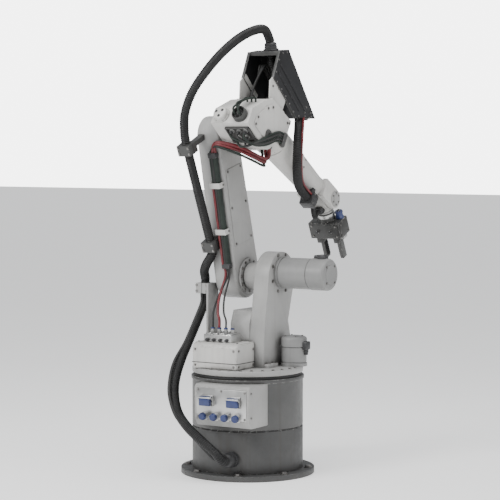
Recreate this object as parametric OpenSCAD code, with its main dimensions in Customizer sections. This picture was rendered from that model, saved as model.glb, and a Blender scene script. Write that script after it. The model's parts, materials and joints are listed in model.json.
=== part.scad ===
// Six-axis industrial robot arm on a round pedestal, with its hoses and a two-finger gripper.
// +X is the arm's forward direction, +Z is up, and the origin is the middle of the foot's underside.

/* [Pedestal and base] */
// Diameter of the foot plate
foot_d = 620; // [560:5:760]
// Thickness of the foot plate
foot_t = 25; // [15:1:40]
// Pitch circle of the anchor holes
anchor_pcd = 566; // [550:2:600]
// Diameter of each anchor hole
anchor_hole_d = 22; // [14:1:26]
// Number of anchor holes
anchor_count = 8; // [4:1:12]
// Diameter of the pedestal column and of the base casting
base_d = 514; // [460:2:540]
// Height of the top of the pedestal column above the floor
column_top = 225; // [180:5:260]
// Height of the seam where the turret turns
seam_z = 462; // [420:2:520]
// Depth of the black seal ring
seal_h = 14; // [8:1:20]
// Width of the connection panel
panel_w = 290; // [220:5:330]
// Depth that the panel stands proud of the base casting
panel_out = 62; // [40:1:90]
// Height of the connection panel
panel_h = 190; // [150:5:205]

/* [Turret] */
// Distance of the shoulder axis in front of the turning axis
shoulder_x = 100; // [60:5:150]
// Height of the shoulder axis above the floor
shoulder_z = 904; // [880:2:960]
// Thickness of the turntable disc
turntable_t = 26; // [18:1:36]
// Radius of the gear housing at the shoulder
shoulder_r = 118; // [105:1:130]
// Width of the shoulder cheek
cheek_w = 78; // [60:2:90]
// Length of the gear hub between the cheek and the lower arm
hub_len = 92; // [70:2:110]
// Diameter of the shoulder motor
motor_2_d = 150; // [120:2:170]
// Length of the shoulder motor
motor_2_len = 262; // [200:2:300]
// Diameter of the turning motor
motor_1_d = 124; // [100:2:140]
// Height of the turning motor above the turntable
motor_1_h = 140; // [110:5:180]

/* [Lower arm] */
// Distance from the shoulder axis to the elbow axis
lower_len = 680; // [600:5:760]
// Backward lean of the lower arm from upright
lower_lean = 14.5; // [8:0.5:18]
// Radius of the lower arm round the shoulder axis
lower_r1 = 106; // [96:1:116]
// Radius of the lower arm round the elbow axis
lower_r2 = 88; // [80:1:96]
// Thickness of the lower arm
lower_w = 120; // [105:1:130]

/* [Upper arm] */
// Downward slope of the upper arm
upper_pitch = 31; // [26:0.5:34]
// Height of the forearm axis above the elbow axis
elbow_offset = 85; // [78:1:100]
// Distance along the upper arm from the elbow axis to the wrist axis
upper_len = 740; // [680:5:800]
// Width of the elbow housing
elbow_w = 200; // [180:2:206]
// Length of the elbow housing in front of the elbow axis
elbow_front = 150; // [135:1:170]
// Width of the hose hood
hood_w = 176; // [150:2:190]
// Thickness of the hood's sheet
hood_t = 5; // [3:0.5:8]

/* [Forearm and wrist] */
// Radius of the forearm at the elbow
forearm_r1 = 84; // [76:1:90]
// Radius of the forearm in front of the fork
forearm_r2 = 58; // [54:1:62]
// Width over the wrist fork
fork_w = 144; // [136:2:156]
// Thickness of each fork cheek
fork_t = 26; // [22:1:30]
// Radius of the wrist housing
wrist_r = 52; // [46:1:54]
// Distance from the wrist axis to the face of the tool flange
flange_out = 96; // [90:1:110]
// Forward tilt of the tool from straight down
tool_tilt = 25; // [0:1:40]

/* [Gripper] */
// Width of the gripper body between the fingers
gripper_w = 170; // [150:2:190]
// Depth of the gripper body
gripper_d = 96; // [80:2:110]
// Height of the gripper body
gripper_h = 84; // [70:2:100]
// Length of each finger below the body
finger_len = 92; // [70:2:110]
// Distance of each finger from the middle when closed
finger_y = 46; // [40:1:52]

/* [Hoses] */
// Outer diameter of the dress hose
hose_d = 44; // [36:1:46]
// Outer diameter of the thin hose to the wrist
wrist_hose_d = 24; // [18:1:26]
// Outer diameter of the red cable
cable_d = 18; // [12:1:20]

/* [Hidden] */
$fn = 64;

// Clearance between two seats that turn or slide on each other
running_gap = 0.3;
// Radial clearance of a shaft in its bore
fit_gap = 0.05;
// Gap that keeps a turning casting clear of its neighbour
casting_gap = 5;
// Depth of a shaft in its bore
shaft_depth = 60;

base_r = base_d / 2;
turntable_z = seam_z + seal_h / 2 + running_gap;
deck_z = turntable_z + turntable_t;
lip_h = 16;
lip_out = 5;
groove = 6;
panel_y = -60;
panel_z = seam_z - seal_h / 2 - lip_h - panel_h;
panel_x = -base_r - panel_out;

// The lower arm stands left of the shoulder cheek, and the elbow housing is right of the lower arm.
arm_y0 = 60;
arm_y1 = arm_y0 + lower_w;
cheek_y1 = arm_y0 - 3 * casting_gap - hub_len;
cheek_y0 = cheek_y1 - cheek_w;
upper_y = arm_y0 - 2 * casting_gap - elbow_w / 2;
shoulder_shaft_r = 50;
elbow_shaft_r = 45;
forearm_shaft_r = 40;
wrist_pin_r = 20;

// Round covers on the sides of the lower arm
cover_t = 9;

// Black cable trunk on the rear edge of the lower arm
trunk_w = 46;
trunk_t = 34;
trunk_y = arm_y0 + 6;
trunk_s0 = 70;
trunk_s1 = lower_len - 58;

elbow_x = shoulder_x - lower_len * sin(lower_lean);
elbow_z = shoulder_z + lower_len * cos(lower_lean);
wrist_x = elbow_x + upper_len * cos(upper_pitch) + elbow_offset * sin(upper_pitch);
wrist_z = elbow_z - upper_len * sin(upper_pitch) + elbow_offset * cos(upper_pitch);

// Shapes that many pieces share

module slab_y(y0, y1) {
  translate([0, y1, 0]) rotate([90, 0, 0]) linear_extrude(y1 - y0) children();
}

module rod_y(x, z, r, y0, y1) {
  translate([x, y1, z]) rotate([90, 0, 0]) cylinder(r = r, h = y1 - y0);
}

module rod_x(y, z, r, x0, x1) {
  translate([x0, y, z]) rotate([0, 90, 0]) cylinder(r = r, h = x1 - x0);
}

module box(x0, x1, y0, y1, z0, z1) {
  translate([x0, y0, z0]) cube([x1 - x0, y1 - y0, z1 - z0]);
}

// A motor can: a round body with a stepped, chamfered end, standing on z = 0
module motor_can(r, h) {
  edge = r * 0.18;
  rotate_extrude() polygon([[0, 0], [r, 0], [r, h - 2 * edge], [r - edge / 2, h - edge], [r - edge, h - edge],
    [r - 2 * edge, h], [0, h]]);
}

// Frames that turn with the arm: the beam's own frame, its rear edge, the upper arm and the tool
module in_lower() {
  translate([shoulder_x, 0, shoulder_z]) rotate([0, -lower_lean, 0]) children();
}

taper = asin((lower_r1 - lower_r2) / lower_len);

module on_rear() {
  in_lower() translate([-lower_r1 * cos(taper), 0, lower_r1 * sin(taper)]) rotate([0, taper, 0]) children();
}

module in_upper() {
  translate([elbow_x, upper_y, elbow_z]) rotate([0, upper_pitch, 0]) children();
}

module in_tool() {
  translate([wrist_x, upper_y, wrist_z]) rotate([0, -tool_tilt, 0]) children();
}

// A round tube swept along a smooth curve through hand-chosen points
function curve_point(p, i, t) =
  let (
    a = p[max(i - 1, 0)], b = p[i], c = p[i + 1], d = p[min(i + 2, len(p) - 1)],
    m0 = (c - a) / 2, m1 = (d - b) / 2
  )
  b * (2 * t ^ 3 - 3 * t ^ 2 + 1) + m0 * (t ^ 3 - 2 * t ^ 2 + t) + c * (3 * t ^ 2 - 2 * t ^ 3)
    + m1 * (t ^ 3 - t ^ 2);

function smooth_route(p, steps) =
  concat([for (i = [0:len(p) - 2]) for (k = [0:steps - 1]) curve_point(p, i, k / steps)], [p[len(p) - 1]]);

function unit(v) = v / norm(v);

// Direction of the route at ring i, set square to the end faces by the given end directions
function heading(q, i, first, last) =
  i == 0 ? first : i == len(q) - 1 ? last : unit(q[i + 1] - q[i - 1]);

module tube(p, d, side, first, last, steps = 3, sides = 10) {
  n_last = len(p) - 1;
  ends = [p[0] + running_gap * unit(first), p[n_last] - running_gap * unit(last)];
  q = smooth_route([for (i = [0:n_last]) i == 0 ? ends[0] : i == n_last ? ends[1] : p[i]], steps);
  rings = [for (i = [0:len(q) - 1])
    let (t = heading(q, i, unit(first), unit(last)), n = unit(cross(side, t)), b = cross(t, n))
    for (k = [0:sides - 1]) q[i] + d / 2 * (cos(360 * k / sides) * n + sin(360 * k / sides) * b)];
  walls = [for (i = [0:len(q) - 2]) for (k = [0:sides - 1])
    let (m = (k + 1) % sides)
    each [[i * sides + k, (i + 1) * sides + k, i * sides + m],
      [i * sides + m, (i + 1) * sides + k, (i + 1) * sides + m]]];
  last_ring = (len(q) - 1) * sides;
  caps = [[for (k = [0:sides - 1]) k], [for (k = [sides - 1:-1:0]) last_ring + k]];
  polyhedron(points = rings, faces = concat(walls, caps));
}

// Pedestal and base

module foot_plate() {
  color("dimgray") difference() {
    cylinder(d = foot_d, h = foot_t);
    for (k = [0:anchor_count - 1])
      rotate(360 * (k + 0.5) / anchor_count) translate([anchor_pcd / 2, 0, -1])
        cylinder(d = anchor_hole_d, h = foot_t + 2);
  }
}

module pedestal_column() {
  color("dimgray") rotate_extrude() polygon([[0, foot_t], [base_r, foot_t], [base_r, column_top - groove],
    [base_r - groove, column_top - groove], [base_r - groove, column_top], [0, column_top]]);
}

module base_casting() {
  top = seam_z - seal_h / 2;
  color("gray") rotate_extrude() polygon([[0, column_top], [base_r, column_top], [base_r, top - lip_h],
    [base_r + lip_out, top - lip_h], [base_r + lip_out, top], [0, top]]);
}

module seal_ring() {
  color("black") translate([0, 0, seam_z - seal_h / 2]) cylinder(r = base_r - groove, h = seal_h);
}

module connection_panel() {
  color("gainsboro") difference() {
    slab_y(panel_y - panel_w / 2, panel_y + panel_w / 2)
      polygon([[panel_x, panel_z + 30], [panel_x, panel_z + panel_h - 12],
      [panel_x + 12, panel_z + panel_h], [-base_r / 2, panel_z + panel_h], [-base_r / 2, panel_z],
      [panel_x + 24, panel_z]]);
    cylinder(r = base_r + running_gap, h = 2 * seam_z);
  }
}

connector_w = 58;
connector_h = 46;
connector_out = 34;

module panel_connectors() {
  color("midnightblue") {
    for (side = [-1, 1]) let (y = panel_y + side * panel_w / 4)
      box(panel_x - connector_out, panel_x, y - connector_w / 2, y + connector_w / 2, panel_z + panel_h / 2,
        panel_z + panel_h / 2 + connector_h);
    for (k = [-1.5:1:1.5]) rod_x(panel_y + k * panel_w / 5, panel_z + panel_h / 4, 17,
      panel_x - connector_out, panel_x);
  }
}

gland_y = -72;
gland_z = 95;
gland_len = 46;

module base_hose_gland() {
  color("black") difference() {
    rod_x(gland_y, gland_z, hose_d / 2 + 8, -base_r - gland_len, -base_r / 2);
    cylinder(r = base_r + running_gap, h = column_top);
  }
}

// Turret, which turns on the base

module turntable() {
  color("lightgray") translate([0, 0, turntable_z]) cylinder(r = base_r, h = turntable_t);
}

cheek_front = 215;
cheek_rear = -62;
hub_r = 62;
waist_x = shoulder_x + 58;
waist_z = deck_z + 205;
plinth_top = shoulder_z - lower_r1 - trunk_t - 2 * casting_gap;

module shoulder_casting() {
  color("lightgray") {
    slab_y(cheek_y0, cheek_y1) union() {
      translate([shoulder_x, shoulder_z]) circle(r = shoulder_r);
      polygon([[cheek_rear, deck_z], [cheek_front, deck_z], [cheek_front, deck_z + 40],
        [waist_x + 26, (deck_z + waist_z) / 2], [waist_x, waist_z], [shoulder_x + shoulder_r, shoulder_z],
        [shoulder_x - shoulder_r, shoulder_z], [cheek_rear, deck_z + 120]]);
    }
    rod_y(shoulder_x, shoulder_z, hub_r, cheek_y1, arm_y0 - 3 * casting_gap);
    rod_y(shoulder_x, shoulder_z, shoulder_shaft_r, cheek_y1, arm_y0 + shaft_depth);
    slab_y(cheek_y1, arm_y0 - casting_gap) polygon([[cheek_rear, deck_z], [cheek_front - 30, deck_z],
      [cheek_front - 60, plinth_top], [cheek_rear + 24, plinth_top], [cheek_rear, plinth_top - 60]]);
  }
}

cover_x0 = 32 - base_r;
cover_x1 = cheek_rear - 6;
cover_y0 = -80;
cover_y1 = 160;
cover_h = 118;
cover_edge = 14;

module rear_cover() {
  top = deck_z + cover_h;
  color("whitesmoke") slab_y(cover_y0, cover_y1)
    polygon([[cover_x0, deck_z], [cover_x1, deck_z], [cover_x1, top],
    [cover_x0 + cover_edge, top], [cover_x0, top - cover_edge]]);
}

valve_h = 44;
valve_x0 = cover_x0 + 35;
valve_x1 = cover_x1 - 32;
valve_y0 = cover_y0 + 50;
valve_y1 = cover_y1 - 40;
fitting_gap = (valve_y1 - valve_y0 - 44) / 3;

module valve_block() {
  z0 = deck_z + cover_h;
  color("silver") {
    box(valve_x0, valve_x1, valve_y0, valve_y1, z0, z0 + valve_h);
    for (k = [0:3]) translate([(valve_x0 + valve_x1) / 2, valve_y0 + 22 + fitting_gap * k, z0 + valve_h])
      cylinder(r = 11, h = 26);
  }
}

module motor_1() {
  gap = 3;
  color("silver") translate([shoulder_x, cheek_y0 - gap - motor_1_d / 2, deck_z])
    motor_can(motor_1_d / 2, motor_1_h);
}

motor_2_rise = 20;

module motor_2() {
  color("silver") translate([shoulder_x, cheek_y0, shoulder_z + motor_2_rise]) rotate([90, 0, 0])
    motor_can(motor_2_d / 2, motor_2_len);
}

// Post on the turret that holds the hose beside the shoulder
post_y = arm_y1 + cover_t + casting_gap + 2;
post_t = 12;
post_x0 = -35;
post_x1 = 55;
block = 2 * hose_d - 22;
turret_hose = [(post_x0 + post_x1) / 2, post_y + post_t + block / 2, shoulder_z - 59];
block_h = 50;

module hose_bracket() {
  color("dimgray") {
    box(post_x0, post_x1, post_y, post_y + post_t, deck_z, turret_hose.z + block_h / 2);
    translate(turret_hose) cube([block, block, block_h], center = true);
  }
}

// Lower arm, which swings on the shoulder

module beam_profile() {
  translate([0, 0]) circle(r = lower_r1);
  translate([0, lower_len]) circle(r = lower_r2);
  polygon([[-lower_r1 * cos(taper), lower_r1 * sin(taper)], [lower_r1 * cos(taper), lower_r1 * sin(taper)],
    [lower_r2 * cos(taper), lower_len + lower_r2 * sin(taper)],
    [-lower_r2 * cos(taper), lower_len + lower_r2 * sin(taper)]]);
}

module lower_arm_beam() {
  color("lightgray") difference() {
    in_lower() slab_y(arm_y0, arm_y1) union() beam_profile();
    rod_y(shoulder_x, shoulder_z, shoulder_shaft_r + fit_gap, arm_y0 - 1, arm_y0 + shaft_depth + running_gap);
    rod_y(elbow_x, elbow_z, elbow_shaft_r + fit_gap, arm_y0 - 1, arm_y0 + shaft_depth + running_gap);
  }
}

module lower_arm_covers() {
  color("whitesmoke") {
    difference() {
      rod_y(shoulder_x, shoulder_z, lower_r1 - 22, arm_y0 - cover_t, arm_y0);
      rod_y(shoulder_x, shoulder_z, shoulder_shaft_r + casting_gap, arm_y0 - cover_t - 1, arm_y0 + 1);
    }
    rod_y(shoulder_x, shoulder_z, lower_r1 - 22, arm_y1, arm_y1 + cover_t);
    rod_y(elbow_x, elbow_z, lower_r2 - 20, arm_y1, arm_y1 + cover_t);
  }
}

module harness_trunk() {
  color("black") on_rear() box(-trunk_t, -running_gap, trunk_y, trunk_y + trunk_w, trunk_s0, trunk_s1);
}

strap_t = 5;
strap_len = 26;

module harness_clamps() {
  color("whitesmoke") on_rear() for (s = [235, 455]) difference() {
    box(-trunk_t - strap_t, -running_gap, trunk_y - strap_t, trunk_y + trunk_w + strap_t, s, s + strap_len);
    box(-trunk_t - running_gap, 1, trunk_y - running_gap, trunk_y + trunk_w + running_gap, s - 1,
      s + strap_len + 1);
  }
}

// The hose runs straight behind the lower arm between two clamps, given in the arm's own frame.
run_y = arm_y0 + 90;
run_low = [-136, 190];
run_high = [-216, lower_len - 8];
run_tilt = atan2(run_high.x - run_low.x, run_high.y - run_low.y);
run_len = norm(run_high - run_low);
clamp_h = 50;

module at_run(p) {
  in_lower() translate([p.x, run_y, p.y]) rotate([0, run_tilt, 0]) children();
}

module hose_clamps() {
  color("dimgray") for (p = [run_low, run_high]) difference() {
    at_run(p) union() {
      cube([block, block, clamp_h], center = true);
      translate([0, -15, -12]) cube([-p.x, 30, 24]);
    }
    in_lower() slab_y(arm_y0, arm_y1 + block) union() beam_profile();
  }
}

module held_hose() {
  color("black") at_run(run_low) translate([0, 0, clamp_h / 2]) cylinder(d = hose_d, h = run_len - clamp_h);
}

// Places on the moving arms, in the model's own frame
function lower_at(x, y, s) = [shoulder_x + x * cos(lower_lean) - s * sin(lower_lean), y,
  shoulder_z + x * sin(lower_lean) + s * cos(lower_lean)];
function lower_way(a) = [sin(a - lower_lean), 0, cos(a - lower_lean)];
function upper_at(x, y, z) = [elbow_x + x * cos(upper_pitch) + z * sin(upper_pitch), upper_y + y,
  elbow_z - x * sin(upper_pitch) + z * cos(upper_pitch)];
function upper_way(x, y, z) = upper_at(x, y, z) - upper_at(0, 0, 0);
function rear_at(x, y, s) = lower_at((x - lower_r1) * cos(taper) + s * sin(taper), y,
  (lower_r1 - x) * sin(taper) + s * cos(taper));
function run_end(p, h) = lower_at(p.x + h * sin(run_tilt), run_y, p.y + h * cos(run_tilt));

// Upper arm, which swings on the elbow

elbow_r = 66;
elbow_rear = -172;
elbow_top = elbow_offset + 80;
elbow_low = elbow_offset - 80;
rear_low = -40;
rear_top = 38;

module elbow_housing() {
  color("whitesmoke") in_upper() difference() {
    union() {
      slab_y(-elbow_w / 2, elbow_w / 2) union() {
        circle(r = elbow_r);
        polygon([[elbow_rear, rear_low], [elbow_rear, rear_top], [-84, elbow_top - 26], [-46, elbow_top],
          [elbow_front, elbow_top], [elbow_front, elbow_low], [60, elbow_low], [0, 1 - elbow_r]]);
      }
      rod_y(0, 0, elbow_shaft_r, elbow_w / 2, elbow_w / 2 + 2 * casting_gap + shaft_depth);
    }
    rod_x(0, elbow_offset, forearm_shaft_r + fit_gap, elbow_front - shaft_depth - running_gap,
      elbow_front + 1);
  }
}

rear_motor_r = 34;
rear_motor_len = 30;

module rear_motor(y) {
  color("silver") in_upper() translate([elbow_rear, y, (rear_low + rear_top) / 2]) rotate([0, -90, 0])
    motor_can(rear_motor_r, rear_motor_len);
}

module motor_3() { rear_motor(-elbow_w / 4); }

module motor_4() { rear_motor(elbow_w / 4); }

// The hood stands over the upper arm: two side plates with a roof and a sloping front, open below and behind.
hood_rear_low = [-72, 263];
hood_rear_top = [-86, 396];
hood_peak = [-23, 447];
hood_nose = [347, 302];
hood_belly = [194, 210];

// Inward normal of a hood edge, and the inner corner where two sheets meet
function inward(a, b) = let (d = unit(b - a)) [d.y, -d.x];
roof_in = inward(hood_rear_top, hood_peak);
nose_in = inward(hood_peak, hood_nose);
peak_in = hood_peak + hood_t * (roof_in + nose_in) / (1 + roof_in * nose_in);

module hose_hood() {
  color([0.16, 0.16, 0.17]) in_upper() {
    for (y = [-hood_w / 2, hood_w / 2 - hood_t]) slab_y(y, y + hood_t)
      polygon([hood_rear_low, hood_rear_top, hood_peak, hood_nose, hood_belly]);
    slab_y(-hood_w / 2, hood_w / 2) polygon([hood_rear_top, hood_peak, hood_nose,
      hood_nose + hood_t * nose_in,
      peak_in, hood_rear_top + hood_t * roof_in]);
  }
}

bracket_t = 6;

module hood_brackets() {
  inner = hood_w / 2 - hood_t;
  color("gray") in_upper() for (y = [-inner, inner - bracket_t])
    slab_y(y, y + bracket_t) polygon([[-46, elbow_top], [80, elbow_top], [80, elbow_top + 100],
      [hood_rear_low.x + 12, elbow_top + 130], [hood_rear_low.x - 12, elbow_top + 74]]);
}

roof_gland = hood_rear_top + 0.8 * (hood_peak - hood_rear_top);
roof_gland_len = 38;
belly_gland = [272, -hood_w / 2 + hood_t + block / 2, 286];

module hood_glands() {
  color("black") in_upper() {
    translate([roof_gland.x, 0, roof_gland.y]) rotate([0, atan2(-roof_in.x, -roof_in.y), 0])
      cylinder(d = hose_d + 14, h = roof_gland_len);
    translate(belly_gland) cube([block, block, block_h], center = true);
  }
}

// Forearm, which turns about its own length

fork_x = upper_len - 95;
fork_r = 48;

module forearm_shape() {
  x0 = elbow_front + casting_gap;
  translate([0, 0, elbow_offset]) {
    rod_x(0, 0, forearm_r1, x0, x0 + 22);
    translate([x0 + 22, 0, 0]) rotate([0, 90, 0])
      cylinder(r1 = forearm_r1 - 8, r2 = forearm_r2, h = fork_x - x0 - 22);
  }
}

module forearm_casting() {
  color("whitesmoke") in_upper() difference() {
    union() {
      forearm_shape();
      rod_x(0, elbow_offset, forearm_shaft_r, elbow_front + casting_gap - shaft_depth,
        elbow_front + casting_gap + 1);
      for (y = [-fork_w / 2, fork_w / 2 - fork_t]) slab_y(y, y + fork_t) union() {
        translate([upper_len, elbow_offset]) circle(r = fork_r);
        translate([fork_x - 20, elbow_offset - fork_r]) square([upper_len - fork_x + 20, 2 * fork_r]);
      }
    }
    rod_y(upper_len, elbow_offset, wrist_pin_r + fit_gap, -fork_w, fork_w);
  }
}

forearm_hold = [upper_len - 165, -36, elbow_offset - 100];

module forearm_clamp() {
  color("black") in_upper() difference() {
    union() {
      translate(forearm_hold) cube([block_h, block, block], center = true);
      translate(forearm_hold + [-14, -12, 0]) cube([28, 36, elbow_offset - forearm_hold.z]);
    }
    forearm_shape();
  }
}

// Wrist, which bends in the fork

barrel_w = fork_w - 2 * fork_t - 2 * casting_gap;
neck_r = 38;
flange_t = 20;
flange_r = 43;
neck_end = flange_out - flange_t - casting_gap;
spigot_len = 30;

module wrist_housing() {
  color("whitesmoke") in_tool() difference() {
    union() {
      rod_y(0, 0, wrist_r, -barrel_w / 2, barrel_w / 2);
      rod_y(0, 0, wrist_pin_r, -fork_w / 2, fork_w / 2);
      translate([0, 0, -neck_end]) cylinder(r = neck_r, h = neck_end);
    }
    translate([0, 0, -neck_end - 1]) cylinder(r = wrist_pin_r + fit_gap, h = spigot_len + 1 + running_gap);
  }
}

module wrist_cover() {
  color("lightgray") in_tool() difference() {
    cylinder(r = 32, h = wrist_r + 14);
    rod_y(0, 0, wrist_r, -barrel_w, barrel_w);
  }
}

// The wrist's hose clamp stays small enough to swing between the fork cheeks.
hold_out = wrist_hose_d + 10;
hold_w = wrist_hose_d + 16;
hold_h = wrist_hose_d + 4;
wrist_hold = [-neck_r - hold_out, 0, -wrist_r + hold_h / 2];

module wrist_clamp() {
  color("black") in_tool() difference() {
    box(wrist_hold.x, 0, -hold_w / 2, hold_w / 2, wrist_hold.z - hold_h / 2, wrist_hold.z + hold_h / 2);
    translate([0, 0, -2 * flange_out]) cylinder(r = neck_r, h = 3 * flange_out);
    rod_y(0, 0, wrist_r + running_gap, -barrel_w, barrel_w);
  }
}

// Tool, which turns on the wrist flange

adapter_h = 18;
body_top = -flange_out - adapter_h;
body_low = body_top - gripper_h;

module tool_flange() {
  color("silver") in_tool() {
    translate([0, 0, -flange_out]) cylinder(r = flange_r, h = flange_t);
    translate([0, 0, -flange_out + flange_t]) cylinder(r = wrist_pin_r, h = casting_gap + spigot_len);
  }
}

module gripper_body() {
  color("dimgray") in_tool() {
    translate([0, 0, body_top]) cylinder(r = flange_r - 2, h = adapter_h);
    box(-gripper_d / 2, gripper_d / 2, -gripper_w / 2, gripper_w / 2, body_low, body_top);
  }
}

air_r = 20;
air_place = [20, -gripper_w / 2 + air_r + 3];

module air_cylinder() {
  color("navy") in_tool() translate([air_place.x, air_place.y, body_top]) cylinder(r = air_r, h = 38);
}

rail_w = 32;
rail_h = 14;

module finger_rail() {
  color("silver") in_tool() box(-rail_w / 2, rail_w / 2, -gripper_w / 2 + 2, gripper_w / 2 - 2,
    body_low - rail_h,
    body_low);
}

carriage_w = 32;
carriage_h = 30;

module finger(side) {
  color("dimgray") in_tool() translate([0, side * finger_y, body_low - running_gap]) difference() {
    union() {
      box(-36, 36, -carriage_w / 2, carriage_w / 2, -carriage_h, 0);
      box(-18, 18, -9, 9, -carriage_h - finger_len, -carriage_h);
    }
    box(-rail_w / 2 - running_gap, rail_w / 2 + running_gap, -carriage_w, carriage_w, -rail_h, 1);
  }
}

module finger_left() { finger(1); }

module finger_right() { finger(-1); }

// Hoses that bend at one joint each, from a clamp on one side of it to a clamp on the other

// A place behind the base, by its angle from straight behind, its distance out from the casting and its
// height
function beside_base(angle, out, z) = [-(base_r + out) * cos(angle), (base_r + out) * sin(angle), z];
// A place by its distance behind or in front of, and below or above, the shoulder or the elbow axis
function by_shoulder(x, y, z) = [shoulder_x + x, y, shoulder_z + z];
function by_elbow(x, y, z) = [elbow_x + x, y, elbow_z + z];

module base_loop() {
  color("black") tube([turret_hose - [0, 0, block_h / 2], turret_hose + [-6, 1, -70],
    turret_hose + [-58, 11, -160],
    turret_hose + [-112, 20, -245], beside_base(58.8, 52, seam_z + 58), beside_base(50.2, 79, seam_z - 22),
    beside_base(42.4, 93, seam_z - 92), beside_base(30, 104, column_top + 75),
      beside_base(16, 112, column_top + 20),
    beside_base(2, 120, gland_z + 98), beside_base(-8, 112, gland_z + 48),
    [-base_r - gland_len - 34, gland_y - 1, gland_z + 8], [-base_r - gland_len, gland_y, gland_z]],
    hose_d, [0.4, 1, 0.3], [0, 0, -1], [1, 0, 0]);
}

module shoulder_loop() {
  color("black") tube([run_end(run_low, -clamp_h / 2), by_shoulder(-164, run_y + 8, 101),
    by_shoulder(-152, run_y + 44, 58), by_shoulder(-114, turret_hose.y - 10, 22),
    turret_hose + [-2, -1, block_h / 2 + 22], turret_hose + [0, 0, block_h / 2]],
    hose_d, [0, 1, 0.2], -lower_way(run_tilt), [0, 0, -1]);
}

module elbow_loop() {
  color("black") tube([run_end(run_high, clamp_h / 2), by_elbow(-236, run_y - 4, 18),
    by_elbow(-252, run_y - 18, 98), by_elbow(-244, run_y - 50, 188), by_elbow(-206, run_y - 90, 273),
    by_elbow(-135, upper_y + 68, 363), by_elbow(-45, upper_y + 30, 436), by_elbow(50, upper_y + 4, 478),
    by_elbow(140, upper_y, 484),
    upper_at(roof_gland.x - roof_gland_len * roof_in.x, 0, roof_gland.y - roof_gland_len * roof_in.y)],
    hose_d, [0, 1, 0], lower_way(run_tilt), upper_way(roof_in.x, 0, roof_in.y));
}

// The cable leaves the trunk, arches over its end and crosses below the elbow to the far side of the housing.
module elbow_cable() {
  color("maroon") tube([rear_at(-trunk_t / 2, trunk_y + trunk_w / 2, trunk_s1),
    by_elbow(-97, arm_y0 + 14, -42),
    by_elbow(-90, upper_y + 88, -36), by_elbow(-60, upper_y + 19, -54), by_elbow(-15, upper_y - 30, -84),
    by_elbow(38, upper_y - 55, -108), by_elbow(80, upper_y - 56, -100), upper_at(110, -50, elbow_low)],
    cable_d, [0, 1, 0.3], lower_way(taper), upper_way(0, 0, 1));
}

// A place between the hood's gland (share 0) and the forearm's hose clamp (share 1), above or below that
// clamp
function on_hold(share, y, z) =
  upper_at(belly_gland.x + share * (forearm_hold.x - belly_gland.x), y, forearm_hold.z + z);

module forearm_hose() {
  color("black") tube([upper_at(belly_gland.x, belly_gland.y, belly_gland.z - block_h / 2),
    on_hold(-0.1, -88, 193), on_hold(-0.15, -114, 118), on_hold(-0.04, -112, 58), on_hold(0.21, -86, 17),
    on_hold(0.57, -46, 1), upper_at(forearm_hold.x - block_h / 2, forearm_hold.y, forearm_hold.z)],
    hose_d, [0, 1, 0.2], upper_way(0, 0, -1), upper_way(1, 0, 0));
}

// A place and a direction on the tilted wrist
function tool_way(x, y, z) =
  [x * cos(tool_tilt) - z * sin(tool_tilt), y, x * sin(tool_tilt) + z * cos(tool_tilt)];
function tool_at(p) = [wrist_x, upper_y, wrist_z] + tool_way(p.x, p.y, p.z);

module wrist_hose() {
  front = forearm_hold + [block_h / 2, 0, 0];
  color("black") tube([upper_at(front.x, front.y, front.z), upper_at(front.x + 36, front.y + 6, front.z - 8),
    upper_at(front.x + 84, front.y + 24, front.z - 14), tool_at(wrist_hold - [34, 2, 9]),
      tool_at(wrist_hold)],
    wrist_hose_d, [0, 1, 0.2], upper_way(1, 0, 0), tool_way(1, 0, 0), 2);
}

foot_plate();
pedestal_column();
base_casting();
seal_ring();
connection_panel();
panel_connectors();
base_hose_gland();
turntable();
shoulder_casting();
rear_cover();
valve_block();
motor_1();
motor_2();
hose_bracket();
lower_arm_beam();
lower_arm_covers();
harness_trunk();
harness_clamps();
hose_clamps();
held_hose();
elbow_housing();
motor_3();
motor_4();
hood_brackets();
hose_hood();
hood_glands();
forearm_casting();
forearm_clamp();
wrist_housing();
wrist_cover();
wrist_clamp();
tool_flange();
gripper_body();
air_cylinder();
finger_rail();
finger_left();
finger_right();
base_loop();
shoulder_loop();
elbow_loop();
elbow_cable();
forearm_hose();
wrist_hose();
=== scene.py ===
"""Looks of a six-axis industrial robot arm: painted castings, corrugated dress hoses, a two-finger gripper."""
import json
import math
from itertools import product

import bmesh
import bpy
from mathutils import Matrix, Vector

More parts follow.
